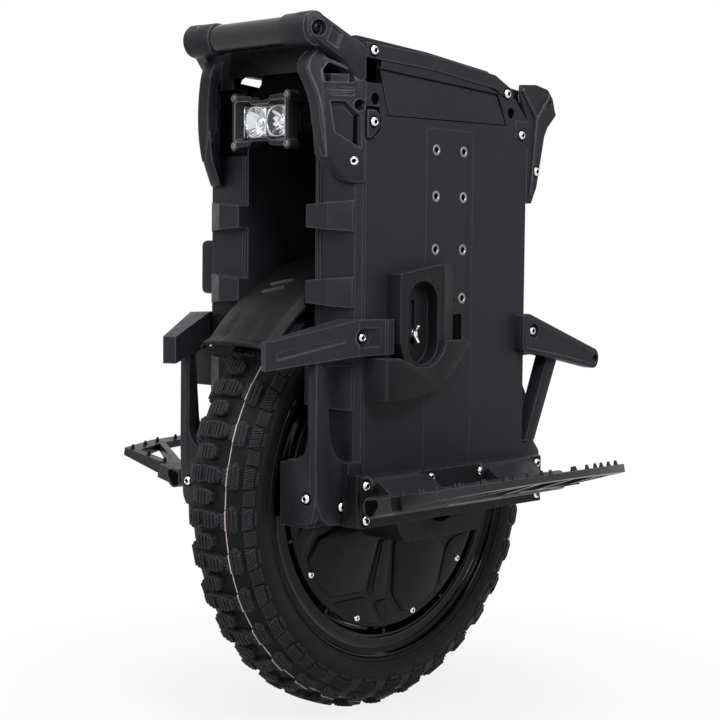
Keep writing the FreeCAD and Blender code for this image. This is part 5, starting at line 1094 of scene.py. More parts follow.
def reflector_cell(x):
    """Half of the mirror: a faceted bowl that deepens with the square of its radius, in a flat square."""
    steps = 64
    angle = full_turn(steps) + np.pi / steps
    ring = np.stack([np.cos(angle), np.sin(angle)], axis=1)
    square = ring / np.maximum(np.abs(ring[:, :1]) / CELL_HALF, np.abs(ring[:, 1:]) / CELL_HALF)
    share = np.array([1.0, 0.97, 0.85, 0.7, 0.55, 0.42, 0.3, 0.02])
    bowl = share[:, None, None] * BOWL_RADIUS * ring[None]
    deep = BOWL_DEPTH * (1 - share**2)
    facet = FACET_DEPTH * np.cos(angle * BOWL_FACETS)[None] * (share * (1 - share) * 4)[:, None]
    y = np.concatenate([np.full((1, steps), BOWL_FRONT), BOWL_FRONT + deep[:, None] + facet])
    flat = np.concatenate([square[None], bowl])
    points = np.stack([x + flat[..., 0], y, LAMP_Z + flat[..., 1]], axis=-1)
    return points.reshape(-1, 3), grid_faces(len(points), steps, close_cols=True)


def dome(x, y, z, radius, height):
    """A round bulb that stands forward of a flat back, from rings of (share of radius, share of height)."""
    angle = full_turn(32)
    share, rise = np.array(BULB_RINGS).T[..., None]
    across = x + radius * share * np.cos(angle)
    upward = z + radius * share * np.sin(angle)
    return capped(np.stack([across, y - height * rise + 0 * angle, upward], axis=-1))


# Front fender and the wall under the deck; turns are degrees ahead of straight up
FENDER_FRONT = 52
FENDER_RADIUS = 260
FENDER_WALL = 2.8
VENT_TURNS = (33.6, 30.4)
VENT_LOW, VENT_TOP = 265.0, 270.2
LAMP_GAP = ((-60, 709), (-33, 703), (-48, 687), (-88, 687), (-78, 702))


def ahead_of_axle(x, radius, turn):
    """Points at a radius from the axle, turned forward from straight up by degrees."""
    t = np.radians(turn)
    return np.stack([x, -radius * np.sin(t), AXLE + radius * np.cos(t)], axis=-1)


def make_front_fender():
    """A sheet whose radius swells in the middle, sinks at its two edges and flares at its front lip."""
    turn = np.concatenate([np.linspace(FENDER_FRONT, 46, 9), np.linspace(44.5, 9, 30)])
    x = np.concatenate([np.linspace(-50.6, -43, 6), np.linspace(-39, 39, 15), np.linspace(43, 50.6, 6)])
    turn, x = np.meshgrid(turn, x, indexing="ij")
    back = FENDER_FRONT - turn
    swell = 6 * (1 - (x / 50) ** 2) + 0.06 * back
    skirt = 7 * np.clip((np.abs(x) - 42) / 8.6, 0, 1) ** 2
    lip = 6.5 * np.exp(-((back / 2.0) ** 2))
    crease = 1.2 * np.exp(-(((np.abs(x) - 16) / 1.6) ** 2)) * np.clip((turn - 30) / 8, 0, 1)
    points = ahead_of_axle(x, FENDER_RADIUS + swell - skirt + lip - crease, turn)
    sheet = points.reshape(-1, 3), grid_faces(*x.shape)
    node = "front_fender"
    made = piece("front_fender_sheet", [sheet], "fender", "chassis", [node])
    wall = made.modifiers.new("sheet wall", "SOLIDIFY")
    wall.thickness = FENDER_WALL * MM
    wall.offset = 0.0
    # Bright steel lips on the two vents: a painted highlight
    u, v = np.meshgrid(np.linspace(-12, 11, 9), np.linspace(-0.2, 0.2, 3), indexing="ij")
    vents = []
    for middle in VENT_TURNS:
        slant = middle + v - 0.10 * u
        vents.append(thick_grid(ahead_of_axle(u, VENT_LOW, slant), ahead_of_axle(u, VENT_TOP, slant)))
    piece("fender_vent_painted_highlights", vents, "steel", "chassis")


def make_inner_wall():
    """Near-black wall of painted shade under the deck's front beam, with the slanted gap beside the lamp.
    """
    wall = slab(oblong(-100, 100, 672, 712), ((-130, 0), (-124, 0)), on_y())
    gap = slab(LAMP_GAP, ((-140, 0), (-110, 0)), on_y())
    piece("deck_inner_wall_painted_shade", [carved(wall, [gap])], "inside", "chassis")


# Front bumpers: an arm bent round the corner, a post and an angled foot on the hanger's nose.
# Stations of the arm are outer x and y, inner x and y, lower and upper height
ARM_BEND = np.array([131.0, -152.0])
ARM_TIP = np.array([79.2, -234.6])
ARM_STATIONS = (
    (131, -100.5, 118, -100.5, 409.5, 445.5), (131, -113, 118, -113, 409, 446),
    (131, -138, 117, -138, 409, 446), (*ARM_BEND, 101, -152, 409, 446),
    (*ARM_TIP, 66.4, -227.8, 394.2, 423.0),
)
ARM_SCOOP = ((125.8, -152), (133, -152), (133, -121), (130.9, -121), (126.0, -140))
ARM_GROOVE = ((14, 426.4), (85, 413.0), (85, 404.6), (14, 423.2))
ARM_RIBS = (-114.4, -110.8)
POST_SIDE = (
    (-188, 414), (-174, 414), (-171, 368), (-168, 330), (-163.5, 315), (-157, 305.5), (-149, 299.5),
    (-141, 297), (-131, 296.5), (-127.5, 290), (-131, 283), (-133, 240), (-140, 234), (-168, 234),
    (-180, 243), (-187, 262), (-188.4, 300),
)
POST_FRONT = (
    (91, 411), (103.5, 411), (103.5, 262), (102, 246), (97, 237), (78, 234), (67, 243), (63, 262),
    (61, 298), (64, 302), (77, 302), (84, 305.5), (89.5, 312), (92.5, 323),
)


def upright(plan, heights):
    """A plan outline stacked at two or more heights, filled at both ends."""
    return capped(np.stack([np.column_stack([plan, np.full(len(plan), z)]) for z in heights]))


def front_bumper_parts():
    """The arm through its stations, carved by a scoop and a groove; then its ribs, post and foot."""
    xo, yo, xi, yi, low, top = np.array(ARM_STATIONS, float).T
    corners = ((xo, yo, low), (xo, yo, top), (xi, yi, top), (xi, yi, low))
    arm = capped(np.stack([np.stack(corner, axis=1) for corner in corners], axis=1))
    round_end = slab(circle(-144.5, 427.5, 10.4), ((125.8, 0), (134, 0)), on_x())
    groove_levels = ((3, -0.4), (0, 0), (-1.8, 1.5))
    groove = slab(ARM_GROOVE, groove_levels, across_corner(ARM_BEND, ARM_TIP))
    arm = carved(arm, [round_end, upright(ARM_SCOOP, (418.0, 437.0)), groove])
    rib_levels = ((130, 0), (131.5, 0), (131.8, 0.3))
    ribs = [slab(oblong(y - 0.7, y + 0.7, 410.5, 444.5), rib_levels, on_x()) for y in ARM_RIBS]
    side = slab(POST_SIDE, ((97, 0), (104.2, 0), (105.5, 0.5), (106, 1.6)), on_x(), 3)
    front = slab(POST_FRONT, ((-178, 0), (-186, 0), (-187, 0.4), (-187.4, 1.2)), on_y(), 3)
    return [arm], ribs + [side, front]


def make_front_bumpers():
    """An arm with rounded edges and a post on each side."""
    arms, posts = front_bumper_parts()
    for (side, arm), (_, post) in zip(each_side(arms), each_side(posts)):
        node = "bumper_front_" + side
        piece("front_bumper_arm_" + side, arm, "moulding", "chassis", [node], sharp=30, bevel=1.0)
        piece("front_bumper_post_" + side, post, "moulding", "chassis", sharp=30)


# Rear bumpers: a long arm with a rounded tip, a leaning strut with a web, and a foot
REAR_ARM = (
    (116, 446.5), (128, 447), (258, 402), (262, 396), (262, 388), (257, 379.5), (249, 380), (188, 392),
    (153.5, 397.8), (116, 404),
)
REAR_WEDGE = ((117.5, 128), (102, 146), (102, 190), (117.5, 236))
REAR_STRUT = ((174.8, 400), (195, 398), (152, 301), (134.5, 301))
REAR_FOOT = (
    (130, 302), (152, 302), (162, 308), (167, 304), (171, 296), (180, 286), (184, 262), (176, 240),
    (140, 238), (130, 244),
)
REAR_WEB = ((118, 399), (130, 399), (158, 350), (142, 302), (118, 302))


def make_rear_bumpers():
    """Slabs along x, the arm carved by a sunk face and two holes."""
    hole = ((126, 0), (134, 0))
    sunk_face = inset(anticlockwise(REAR_ARM), 5.0)
    cutters = [
        slab(sunk_face, ((133, 0), (131, 0), (130.0, 0.8)), on_x(), 3),
        slab(circle(136.5, 427.0, 8.6), hole, on_x()),
        slab(circle(254.5, 391.4, 4.4), hole, on_x()),
    ]
    arm = slab(REAR_ARM, ((117, 0.6), (118, 0), (128.6, 0), (130.3, 0.7), (131, 2.4)), on_x(), 4)
    parts = [
        carved(arm, cutters),
        upright(REAR_WEDGE, (399, 412)),
        slab(REAR_STRUT, ((104, 0), (119.4, 0), (120.6, 0.5), (121, 1.4)), on_x()),
        slab(REAR_FOOT, ((92, 0), (104.4, 0), (105.6, 0.5), (106, 1.5)), on_x(), 3),
        slab(REAR_WEB, ((97, 0), (103.4, 0), (104, 0.6)), on_x()),
    ]
    for side, own in each_side(parts):
        node = "bumper_rear_" + side
        piece("rear_bumper_" + side, own, "moulding", "chassis", [node], sharp=30)


# Small openings, rings and lines on the panels, boxes, brackets and rear guards
INSERT_RING = ((116.6, 5.8), (118.1, 5.8), (118.5, 5.1), (118.5, 3.9), (117.8, 3.2), (116.6, 3.2))
INSERT_SEATS = (
    (-22.55, 624.0), (-22.55, 574.8), (-22.55, 518.1),
    (22.55, 624.0), (22.55, 574.8), (22.55, 518.1), (22.55, 465.4),
)
TUBE_SPANS = ((-137, -60), (40, 129))
TUBE_X, TUBE_Z, TUBE_RADIUS, TUBE_END = 127.6, 276.0, 9.2, 8.4
PEDAL_EYE = ((145.4, 263.6), (162, 266.6), (163.6, 260), (155, 248.4), (146.4, 249))
RECESS_CORNERS = ((-113.5, 702), (-99.3, 655.2), (94.5, 657), (79, 690))
RIB_MEET = (148.6, 667.3)
RIB_ENDS = ((121.5, 699), (171.5, 694), (139, 580))
BOX_LINES = (56.4, 60.2)


def make_insert_rings():
    """A small section turned about each insert's axis, along x."""
    angle = full_turn(24)[:, None]
    x, r = np.array(INSERT_RING).T
    eyes = []
    for y, z in INSERT_SEATS:
        points = [np.broadcast_to(x, (24, len(x))), y + r * np.cos(angle), z + r * np.sin(angle)]
        eyes.append(closed_tube(np.stack(points, axis=-1)))
    piece("insert_rings", both(eyes), "ring", "chassis", sharp=30)


def make_bracket_details():
    """Front end plates and round tubes of the pedal brackets, and a near-black plate of painted shade in
    the eye at the end of each pedal.
    """
    ends = [slab(oblong(118, 133.0, 234, 288), ((-156, 0.6), (-155.4, 0), (-150.6, 0)), on_y(), 1.5)]
    piece("bracket_ends", both(ends), "cover", "chassis", sharp=30)
    tubes = []
    for y0, y1 in TUBE_SPANS:
        rings = ((y0, TUBE_END), (y0 + 1, TUBE_RADIUS), (y1 - 1, TUBE_RADIUS), (y1, TUBE_END))
        tubes.append(along_y(rod_along_x(TUBE_X, TUBE_Z, rings, 28)))
    piece("bracket_tubes", both(tubes), "cast", "chassis", sharp=30)
    # Near-black plate in the eye: painted shade
    eye = [slab(PEDAL_EYE, ((-155, 0), (-157.3, 0)), on_y(), 3)]
    for side, own in each_side(eye):
        node = "pedal_" + side
        piece("pedal_eye_painted_shade_" + side, own, "inside", BODY_OF[node])


def make_dark_openings():
    """Plate under the deck's front, near-black plates of painted shade in the slots of the strip and
    channel, and the backs of the recesses.
    """
    front = slab(oblong(-84, 84, 703, 731), ((-134.4, 0), (-136, 0)), on_y())
    piece("deck_front", [front], "cover", "chassis")
    proud = ((117, 0), (118.25, 0))
    # Near-black plates in the slots: painted shade
    slots = [
        slab(oblong(9, 22, 421.5, 447.5), proud, on_x(), 2),
        slab(oblong(4.5, 9, 461.5, 467), proud, on_x(), 0.8),
        slab(oblong(54, 110, 618, 690), ((-137, 0), (-139, 0)), on_y()),
    ]
    piece("panel_slots_painted_shade", both(slots), "inside", "chassis")
    for side, sign, ahead in (("left", 1.0, -108), ("right", -1.0, -60)):
        outline = ((ahead, 658), (92, 658), (92, 689), (45, 703), (ahead, 714))
        back = slab(outline, ((108, 0), (116, 0), (116.6, 0.6)), on_x(sign))
        piece("recess_back_" + side, [back], "panel", "chassis")


def make_panel_lines():
    """Grooves round the recess and the guard's tab as near-black strips of painted shade, ribs of the rear
    guards, knee block and box lines.
    """
    # Near-black strips along the grooves: painted shade
    corner_pairs = zip(RECESS_CORNERS, RECESS_CORNERS[1:] + RECESS_CORNERS[:1])
    grooves = [slab(strip(*ends, 1.1), ((117, 0), (118.16, 0)), on_x()) for ends in corner_pairs]
    grooves.append(slab(TAB_OUTLINE, ((114, -1.4), (118.3, -1.4)), on_x(), 2))
    piece("panel_grooves_painted_shade", both(grooves), "inside", "chassis")
    rib_levels = ((118, 0), (120.4, 0), (121.2, 0.8))
    ribs = [slab(strip(RIB_MEET, end, 4.4), rib_levels, on_x()) for end in RIB_ENDS]
    piece("rear_guard_ribs", both(ribs), "guard", "chassis", sharp=30)
    block_levels = ((118, 0), (134.5, 0), (136.6, 0.8), (137.4, 2.6))
    block = slab(oblong(-131, -102, 466, 526), block_levels, on_x(-1.0), 7)
    piece("knee_block_right", [block], "pad", "chassis")
    line_levels = ((-137, 0), (-138.6, 0), (-138.9, 0.3))
    lines = [slab(oblong(x - 0.6, x + 0.6, 300, 640), line_levels, on_y()) for x in BOX_LINES]
    piece("box_lines", both(lines), "box", "chassis", sharp=20)


# Lower leg pads and wing screws
LOWER_PAD = (
    (-131.7, 363), (-112, 362), (-80, 364), (-45, 371.5), (-27, 381), (-12, 392.5), (14, 417.5), (5, 421),
    (-30, 422.5), (-36, 409), (-47, 400), (-62, 395.5), (-80, 396), (-97, 402.4), (-112, 406.4),
    (-131.7, 406.4),
)
PAD_BACK = 118.4
PAD_SLOPE, PAD_SLOPE_START = 0.0027, -115
WING_HUB = ((-14, 2.9), (0, 2.9), (0.3, 4.6), (5.4, 4.6), (6.2, 4.0), (8.0, 3.6), (8.6, 2.6))
WING_OUTLINE = ((4.2, 2.0), (5.2, 5.2), (8.8, 9.0), (11.4, 9.8), (12.2, 8.4), (10.2, 5.0), (8.4, 2.0))
WING_SEAT = (119.4, -62.5, 429.0)


def make_lower_pads():
    """A crescent whose thickness shrinks in a straight line from its front towards its rear tip."""
    def place(p):
        draw_in = 1 - PAD_SLOPE * np.clip(p[..., 0] - PAD_SLOPE_START, 0, None)
        return np.stack([PAD_BACK + p[..., 2] * draw_in, p[..., 0], p[..., 1]], axis=-1)

    shape = [slab(LOWER_PAD, ((0, 0), (29.6, 0), (31.2, 0.6), (32, 2.2)), place, 1.5)]
    for side, own in each_side(shape):
        node = "lower_pad_" + side
        piece("lower_pad_shape_" + side, own, "pad", BODY_OF[node], [node], sharp=30)


def make_wing_screws():
    """A turned hub with two flat wings, one the other's image."""
    hub = turned_disc(WING_HUB, 20)
    wing = slab(WING_OUTLINE, ((-1.7, 0.6), (-1.1, 0), (1.1, 0), (1.7, 0.6)), on_y(), 0.9)
    lower_wing = wing[0] * (1, 1, -1), [face[::-1] for face in wing[1]]
    parts = [(points + WING_SEAT, faces) for points, faces in (hub, wing, lower_wing)]
    for side, own in each_side(parts):
        node = "wing_screw_" + side
        piece("wing_screw_shape_" + side, own, "bright", BODY_OF[node], [node], sharp=32)


# Screws: seats on the left side; those along y end with the way the head faces
SCREW_SEATS_X = (
    (119.2, -121.7, 647.5), (118.6, 121.7, 647.5), (118.6, 149.0, 608.0),
    (118.0, -121.4, 720.0), (118.0, 95.73, 691.88),
    (126.0, -144.5, 427.5), (126.4, 136.5, 427.0), (106.0, -150.8, 252.4), (106.0, 164.4, 257.2),
    (132.0, -141.9, 275.8), (132.0, -41.6, 275.8), (132.0, 41.6, 275.8), (132.0, 141.9, 275.8),
    (132.0, -141.9, 240.2), (132.0, 141.9, 240.2),
)
DARK_SEATS_X = ((93.6, -180.0, 738.7), (118.6, 169.0, 688.0))
SCREW_SEATS_Y = ((92.0, -188.0, 263.0, -1.0), (72.0, 186.0, 257.2, 1.0))
GUARD_SCREW_AT, GUARD_SCREW_Z = 13.0, 607.0
COVER_SCREWS, COVER_SCREW_START, COVER_SCREW_CIRCLE, COVER_SCREW_X = 10, -56.9, 149.4, 36.0
# Near-black socket and ring that paint the shade in and round each head
BODY_SOCKET = ((1.1, 2.5), (2.35, 2.5))
BODY_SHADE = ((-0.4, 6.6), (0.14, 6.6))
COVER_SOCKET = ((1.2, 1.6), (2.1, 1.6))
DOME_RINGS = ((1.0, -0.2), (1.0, 0.22), (0.93, 0.5), (0.78, 0.8), (0.62, 0.96))
SOCKET_CHAMFER, SOCKET_CHAMFER_DEPTH = 1.18, 0.25


def button_head(radius, height, socket, depth, steps=24):
    """A low dome turned about +x, with a six-sided socket sunk in the top."""
    angle = full_turn(steps)
    ring = np.stack([np.cos(angle), np.sin(angle)], axis=1)
    hexagon = np.cos(np.pi / 6) / np.cos((angle % (np.pi / 3)) - np.pi / 6)
    rows = []
    for share, rise in DOME_RINGS:
        rows.append(np.column_stack([np.full(steps, rise * height), radius * share * ring]))
    sunk = ((SOCKET_CHAMFER, height), (1.0, height - SOCKET_CHAMFER_DEPTH), (1.0, height - depth))
    for grow, rise in sunk:
        rows.append(np.column_stack([np.full(steps, rise), socket * grow * hexagon[:, None] * ring]))
    return capped(np.stack(rows))


def seated(head, seats):
    """A head along +x on each of its seats, on both sides."""
    points, faces = head
    return both([(points + np.array(seat), faces) for seat in seats])


def body_seated(head):
    """A head on every seat of the body: along x, along y, and square to the face of the front guard."""
    points, faces = head
    parts = [(points + np.array(seat), faces) for seat in SCREW_SEATS_X]
    for x, y, z, sign in SCREW_SEATS_Y:
        turned = [points[:, 1] + x, sign * points[:, 0] + y, points[:, 2] + z]
        parts.append((np.stack(turned, axis=1), faces))
    seat = GUARD_CORNER + GUARD_SCREW_AT * unit_way(GUARD_CORNER, GUARD_FRONT)
    x = seat[0] + points[:, 0] * BOW_OUT[0] - points[:, 1] * BOW_OUT[1]
    y = seat[1] + points[:, 0] * BOW_OUT[1] + points[:, 1] * BOW_OUT[0]
    parts.append((np.stack([x, y, points[:, 2] + GUARD_SCREW_Z], axis=1), faces))
    return both(parts)


def make_screws():
    """Bright heads with sockets and a ring round each painted near-black as shade, dark bolts, and the
    covers' screws with their sockets painted the same.
    """
    head = button_head(5.0, 3.0, 2.7, 2.0)
    piece("button_screws", body_seated(head), "bright", "chassis", ["body_screws"])
    # Painted shade: near-black sockets and rings
    shade = body_seated(turned_disc(BODY_SOCKET, 6)) + body_seated(turned_disc(BODY_SHADE, 24))
    piece("screw_sockets_painted_shade", shade, "inside", "chassis")
    piece("dark_bolts", seated(head, DARK_SEATS_X), "spike", "chassis")
    angle = np.radians(COVER_SCREW_START + 360 / COVER_SCREWS * np.arange(COVER_SCREWS))
    y = COVER_SCREW_CIRCLE * np.sin(angle)
    z = AXLE - COVER_SCREW_CIRCLE * np.cos(angle)
    seats = np.stack([np.full(COVER_SCREWS, COVER_SCREW_X), y, z], axis=1)
    # Painted shade: near-black plugs in the cover screws' sockets
    plugs = seated(turned_disc(COVER_SOCKET, 6), seats)
    piece("cover_screw_sockets", plugs, "inside", "wheel")
    screws = seated(button_head(4.0, 2.6, 1.7, 1.5, 20), seats)
    piece("cover_screws", screws, "bright", "wheel", ["motor_cover_screws"])


# Stage, in metres
PHOTO_SIZE = 720  # pixels each way
PHOTO_FOCAL = 1671.23  # pixels
PHOTO_ANGLES = (43.61, 3.70, 0.58)  # azimuth, dip and roll in degrees
PHOTO_DEPTH = 1.89425
PHOTO_TARGET = np.array([0, 0, 0.380])
TARGET_PIXEL = (368.34, 371.06)
SENSOR = 36  # millimetres
FLOOR_RINGS = (0.3, 1.0, 3.0, 9.0)
FLOOR_STEPS = 64
FLOOR_Z = -0.0005
FADE_START, FADE_END, FADE_NEAR = 0.12, 0.60, 0.84


def set_pose(thing, side, up, back, place):
    """Turns and places a camera or lamp by its three axes."""
    pose = np.eye(4)
    pose[:3, :3] = np.column_stack([side, up, back])
    pose[:3, 3] = place
    thing.matrix_world = Matrix(pose.tolist())


def make_camera():
    """The photograph's view: so turned, and so far back that the target falls on its pixel."""
    azimuth, dip, roll = np.radians(PHOTO_ANGLES)
    ahead = np.array([-np.sin(azimuth) * np.cos(dip), np.cos(azimuth) * np.cos(dip), -np.sin(dip)])
    level = np.array([np.cos(azimuth), np.sin(azimuth), 0])
    steep = np.cross(level, ahead)
    right = np.cos(roll) * level + np.sin(roll) * steep
    up = -np.sin(roll) * level + np.cos(roll) * steep
    column, row = TARGET_PIXEL
    half = PHOTO_SIZE / 2
    aside = right * (column - half) + up * (half - row)
    data = bpy.data.cameras.new("photo_view")
    data.sensor_width = SENSOR
    data.lens = PHOTO_FOCAL / PHOTO_SIZE * SENSOR
    camera = linked("photo_view", data)
    place = PHOTO_TARGET - (aside / PHOTO_FOCAL * PHOTO_DEPTH + ahead * PHOTO_DEPTH)
    set_pose(camera, right, up, -ahead, place)
    bpy.context.scene.camera = camera


def make_lamp(name, place, aim, size, power, spread=180):
    """A square lamp that faces its aim, its light held within the spread in degrees."""
    data = bpy.data.lights.new(name, "AREA")
    data.spread = math.radians(spread)
    data.shape = "RECTANGLE"
    data.size = data.size_y = size
    data.energy = power
    back = np.array(place, float) - np.array(aim, float)
    back /= np.linalg.norm(back)
    side = np.cross([0, 0, 1], back)
    side /= np.linalg.norm(side)
    set_pose(linked(name, data), side, np.cross(back, side), back, place)


def seen_directly(tree):
    """1 for camera, mirror and glass rays, 0 for the light that falls on things."""
    path = tree.nodes.new("ShaderNodeLightPath")
    either = arithmetic(tree, "MAXIMUM", path.outputs["Is Camera Ray"], path.outputs["Is Glossy Ray"])
    return arithmetic(tree, "MAXIMUM", either, path.outputs["Is Transmission Ray"])


def make_world(strength):
    """Even light of the given strength, behind a white that only direct, mirror and glass rays see."""
    world = bpy.data.worlds.new("studio")
    bpy.context.scene.world = world
    world.use_nodes = True
    tree = world.node_tree
    light = tree.nodes["Background"]
    light.inputs["Color"].default_value = (1, 1, 1, 1)
    light.inputs["Strength"].default_value = strength
    white = tree.nodes.new("ShaderNodeBackground")
    white.inputs["Color"].default_value = (1, 1, 1, 1)
    white.inputs["Strength"].default_value = 1.0
    mix = tree.nodes.new("ShaderNodeMixShader")
    tree.links.new(seen_directly(tree), mix.inputs["Fac"])
    tree.links.new(light.outputs["Background"], mix.inputs[1])
    tree.links.new(white.outputs["Background"], mix.inputs[2])
    tree.links.new(mix.outputs["Shader"], tree.nodes["World Output"].inputs["Surface"])


def make_floor(tone):
    """A wide disc that fades into the white of the world away from the wheel."""
    material, tree, shader, vector = new_material("pale floor")
    shader.inputs["Base Color"].default_value = (*tone, 1)
    shader.inputs["Roughness"].default_value = 0.9
    shader.inputs["Specular IOR Level"].default_value = 0.1
    span = tree.nodes.new("ShaderNodeVectorMath")
    span.operation = "LENGTH"
    tree.links.new(vector, span.inputs[0])
    fade = mapped(tree, span.outputs["Value"], FADE_START, FADE_END, FADE_NEAR, 1.0)
    glow = tree.nodes.new("ShaderNodeEmission")
    glow.inputs["Strength"].default_value = 1.0
    mix = tree.nodes.new("ShaderNodeMixShader")
    tree.links.new(arithmetic(tree, "MULTIPLY", fade, seen_directly(tree)), mix.inputs["Fac"])
    tree.links.new(shader.outputs["BSDF"], mix.inputs[1])
    tree.links.new(glow.outputs["Emission"], mix.inputs[2])
    tree.links.new(mix.outputs["Shader"], tree.nodes["Material Output"].inputs["Surface"])
    angle = full_turn(FLOOR_STEPS)
    level = np.full(FLOOR_STEPS, FLOOR_Z)
    rings = [np.column_stack([r * np.cos(angle), r * np.sin(angle), level]) for r in FLOOR_RINGS]
    mesh = bpy.data.meshes.new("floor")
    faces = grid_faces(len(FLOOR_RINGS), FLOOR_STEPS, close_cols=True) + [list(range(FLOOR_STEPS))]
    mesh.from_pydata(np.concatenate(rings).tolist(), [], faces)
    mesh.materials.append(material)
    floor = linked("floor", mesh)


# Operators, one for each piece or group of like pieces
class UNICYCLE_OT_stage(bpy.types.Operator):
    """Sets up the floor, the lamps, the world and the camera."""

    bl_idname = "unicycle.stage"
    bl_label = "Stage"

    def execute(self, context):
        stage = context.scene.unicycle_stage
        make_camera()
        make_world(stage.world)
        make_floor(stage.floor)
        make_lamp("near_side_lamp", (1.6, -0.55, 1.75), (0.1, 0, 0.76), 0.9, stage.key, 56)
        make_lamp("front_lamp", (0.1, -2.1, 1.5), (0, 0, 0.45), 1.0, stage.front)
        make_lamp("overhead_lamp", (0.2, -0.3, 2.3), (0, 0, 0.3), 1.2, stage.top)
        context.scene.view_settings.view_transform = "Standard"
        return {"FINISHED"}


class UNICYCLE_OT_finishes(bpy.types.Operator):
    """Builds the finishes."""

    bl_idname = "unicycle.finishes"
    bl_label = "Finishes"

    def execute(self, context):
        make_materials()
        return {"FINISHED"}


class UNICYCLE_OT_tyre(bpy.types.Operator):
    """Tyre with its tread blocks, beads and pale line."""

    bl_idname = "unicycle.tyre"
    bl_label = "Tyre"

    def execute(self, context):
        make_tyre()
        return {"FINISHED"}


class UNICYCLE_OT_wheel(bpy.types.Operator):
    """Rim with its lips and ribs, and the raised panels of the motor covers."""

    bl_idname = "unicycle.wheel"
    bl_label = "Rim and motor covers"

    def execute(self, context):
        make_rim()
        make_covers()
        return {"FINISHED"}


class UNICYCLE_OT_guards(bpy.types.Operator):
    """Front corner guards with their windows, pockets and arms."""

    bl_idname = "unicycle.guards"
    bl_label = "Front corner guards"

    def execute(self, context):
        make_front_guards()
        return {"FINISHED"}


class UNICYCLE_OT_fender(bpy.types.Operator):
    """Front fender with its lip and vents, their bright lips a painted highlight, and the near-black wall
    of painted shade under the deck.
    """

    bl_idname = "unicycle.fender"
    bl_label = "Front fender"

    def execute(self, context):
        make_front_fender()
        make_inner_wall()
        return {"FINISHED"}


class UNICYCLE_OT_bumpers(bpy.types.Operator):
    """Front and rear bumpers: arms, posts, struts and feet."""

    bl_idname = "unicycle.bumpers"
    bl_label = "Bumpers"

    def execute(self, context):
        make_front_bumpers()
        make_rear_bumpers()
        return {"FINISHED"}


class UNICYCLE_OT_panel_details(bpy.types.Operator):
    """Rings of the inserts, bracket ends and tubes, openings and grooves painted near-black as shade, ribs
    and box lines.
    """

    bl_idname = "unicycle.panel_details"
    bl_label = "Panel details"

    def execute(self, context):
        make_insert_rings()
        make_bracket_details()
        make_dark_openings()
        make_panel_lines()
        return {"FINISHED"}


class UNICYCLE_OT_pads(bpy.types.Operator):
    """Lower leg pads and the wing screws."""

    bl_idname = "unicycle.pads"
    bl_label = "Lower pads and wing screws"

    def execute(self, context):
        make_lower_pads()
        make_wing_screws()
        return {"FINISHED"}


class UNICYCLE_OT_headlight(bpy.types.Operator):
    """Headlight bezel, mirror, bulbs and lens."""

    bl_idname = "unicycle.headlight"
    bl_label = "Headlight"

    def execute(self, context):
        make_headlight()
        return {"FINISHED"}


class UNICYCLE_OT_screws(bpy.types.Operator):
    """Button screws of the body and the motor covers."""

    bl_idname = "unicycle.screws"
    bl_label = "Screws"

    def execute(self, context):
        make_screws()
        return {"FINISHED"}


# CAD nodes that are rounded, with their finish and the width of the rounding, and nodes kept as they are
SOFT_NODES = (
    ("moulding", 1.6, ("rear_guard_left", "rear_guard_right")),
    ("moulding", 1.2, ("grab_rail_left", "grab_rail_right")),
    ("moulding", 0.3, ("top_deck",)),
    ("box", 3.0, ("battery_box_left", "battery_box_right")),
    ("panel", 0.5, ("side_panel_left", "side_panel_right", "pad_strips")),
    ("panel", 0.8, ("recess_panel_left", "recess_panel_right")),
    ("cast", 1.0, ("hanger_left", "hanger_right", "pedal_bracket_left", "pedal_bracket_right")),
    ("pedal", 1.0, ("pedal_left", "pedal_right")),
    ("pad", 0.9, ("upper_pad_left", "upper_pad_right")),
    ("lamp_body", 0.8, ("headlight_housing", "headlight_bracket")),
    ("fender", 0.6, ("rear_fender",)),
)
PLAIN_NODES = (
    ("bar", ("handle_bar", "rear_bar")),
    ("insert", ("pad_inserts",)),
    ("spike", ("pedal_spikes_left", "pedal_spikes_right")),
    ("steel", ("axle", "axle_nuts", "wheel_bearings", "pedal_pins")),
    ("iron", ("stator", "magnet_ring")),
    ("wrap", ("battery_packs",)),
    ("board", ("controller_board",)),
    ("inside", ("heat_sink",)),
    ("tail", ("tail_light",)),
    ("button", ("power_button", "charge_port")),
)


class UNICYCLE_OT_shells(bpy.types.Operator):
    """Rounds the edges of the moulded and cast pieces."""

    bl_idname = "unicycle.shells"
    bl_label = "Moulded and cast pieces"

    def execute(self, context):
        for finish, width, nodes in SOFT_NODES:
            for node in nodes:
                softened(node, finish, width)
        return {"FINISHED"}


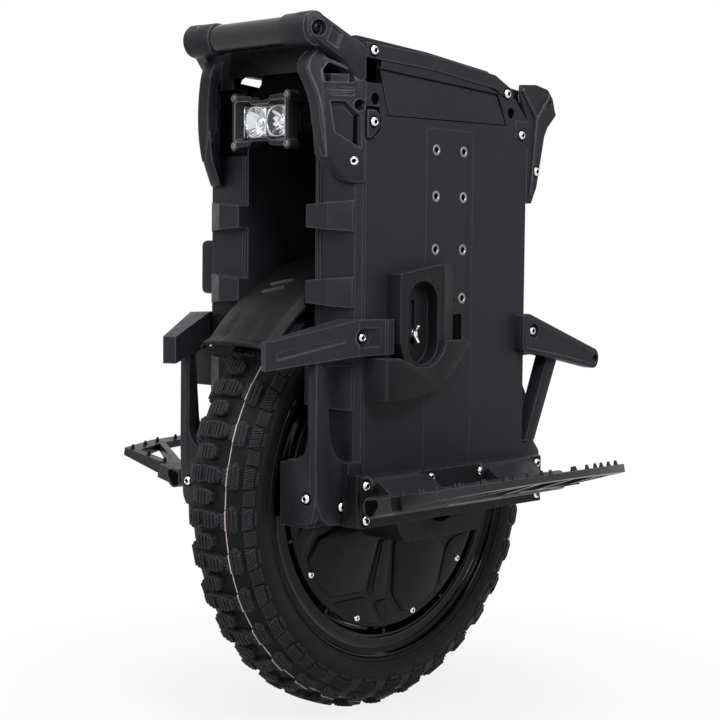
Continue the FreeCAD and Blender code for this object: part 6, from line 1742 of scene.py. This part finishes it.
class UNICYCLE_OT_fittings(bpy.types.Operator):
    """Gives the plain turned and inner pieces their finishes."""

    bl_idname = "unicycle.fittings"
    bl_label = "Bars, inserts and inner pieces"

    def execute(self, context):
        for finish, nodes in PLAIN_NODES:
            for node in nodes:
                dressed(node, finish)
        return {"FINISHED"}


class UNICYCLE_PT_panel(bpy.types.Panel):
    """Lists the settings and the steps."""

    bl_idname = "UNICYCLE_PT_panel"
    bl_label = "Electric unicycle"
    bl_space_type = "VIEW_3D"
    bl_region_type = "UI"
    bl_category = "Unicycle"

    def draw(self, context):
        for setting, _ in SETTINGS:
            group = getattr(context.scene, setting)
            box = self.layout.box()
            for name in group.__annotations__:
                box.prop(group, name)
        for step in OPERATORS:
            self.layout.operator(step.bl_idname)


OPERATORS = (
    UNICYCLE_OT_stage, UNICYCLE_OT_finishes, UNICYCLE_OT_tyre, UNICYCLE_OT_wheel, UNICYCLE_OT_guards,
    UNICYCLE_OT_fender, UNICYCLE_OT_bumpers, UNICYCLE_OT_panel_details, UNICYCLE_OT_pads,
    UNICYCLE_OT_headlight, UNICYCLE_OT_screws, UNICYCLE_OT_shells, UNICYCLE_OT_fittings,
)
SETTINGS = (
    ("unicycle_finishes", UnicycleFinishes),
    ("unicycle_tread", UnicycleTread),
    ("unicycle_stage", UnicycleStage),
)


def register():
    """Adds the settings, the steps and the panel."""
    for name, group in SETTINGS:
        bpy.utils.register_class(group)
        setattr(bpy.types.Scene, name, PointerProperty(type=group))
    for step in OPERATORS:
        bpy.utils.register_class(step)
    bpy.utils.register_class(UNICYCLE_PT_panel)


def unregister():
    """Takes them away in the reverse order."""
    bpy.utils.unregister_class(UNICYCLE_PT_panel)
    for step in reversed(OPERATORS):
        bpy.utils.unregister_class(step)
    for name, group in reversed(SETTINGS):
        delattr(bpy.types.Scene, name)
        bpy.utils.unregister_class(group)


def main():
    """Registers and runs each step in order."""
    register()
    for step in OPERATORS:
        family, name = step.bl_idname.split(".")
        getattr(getattr(bpy.ops, family), name)()


if __name__ == "__main__":
    main()
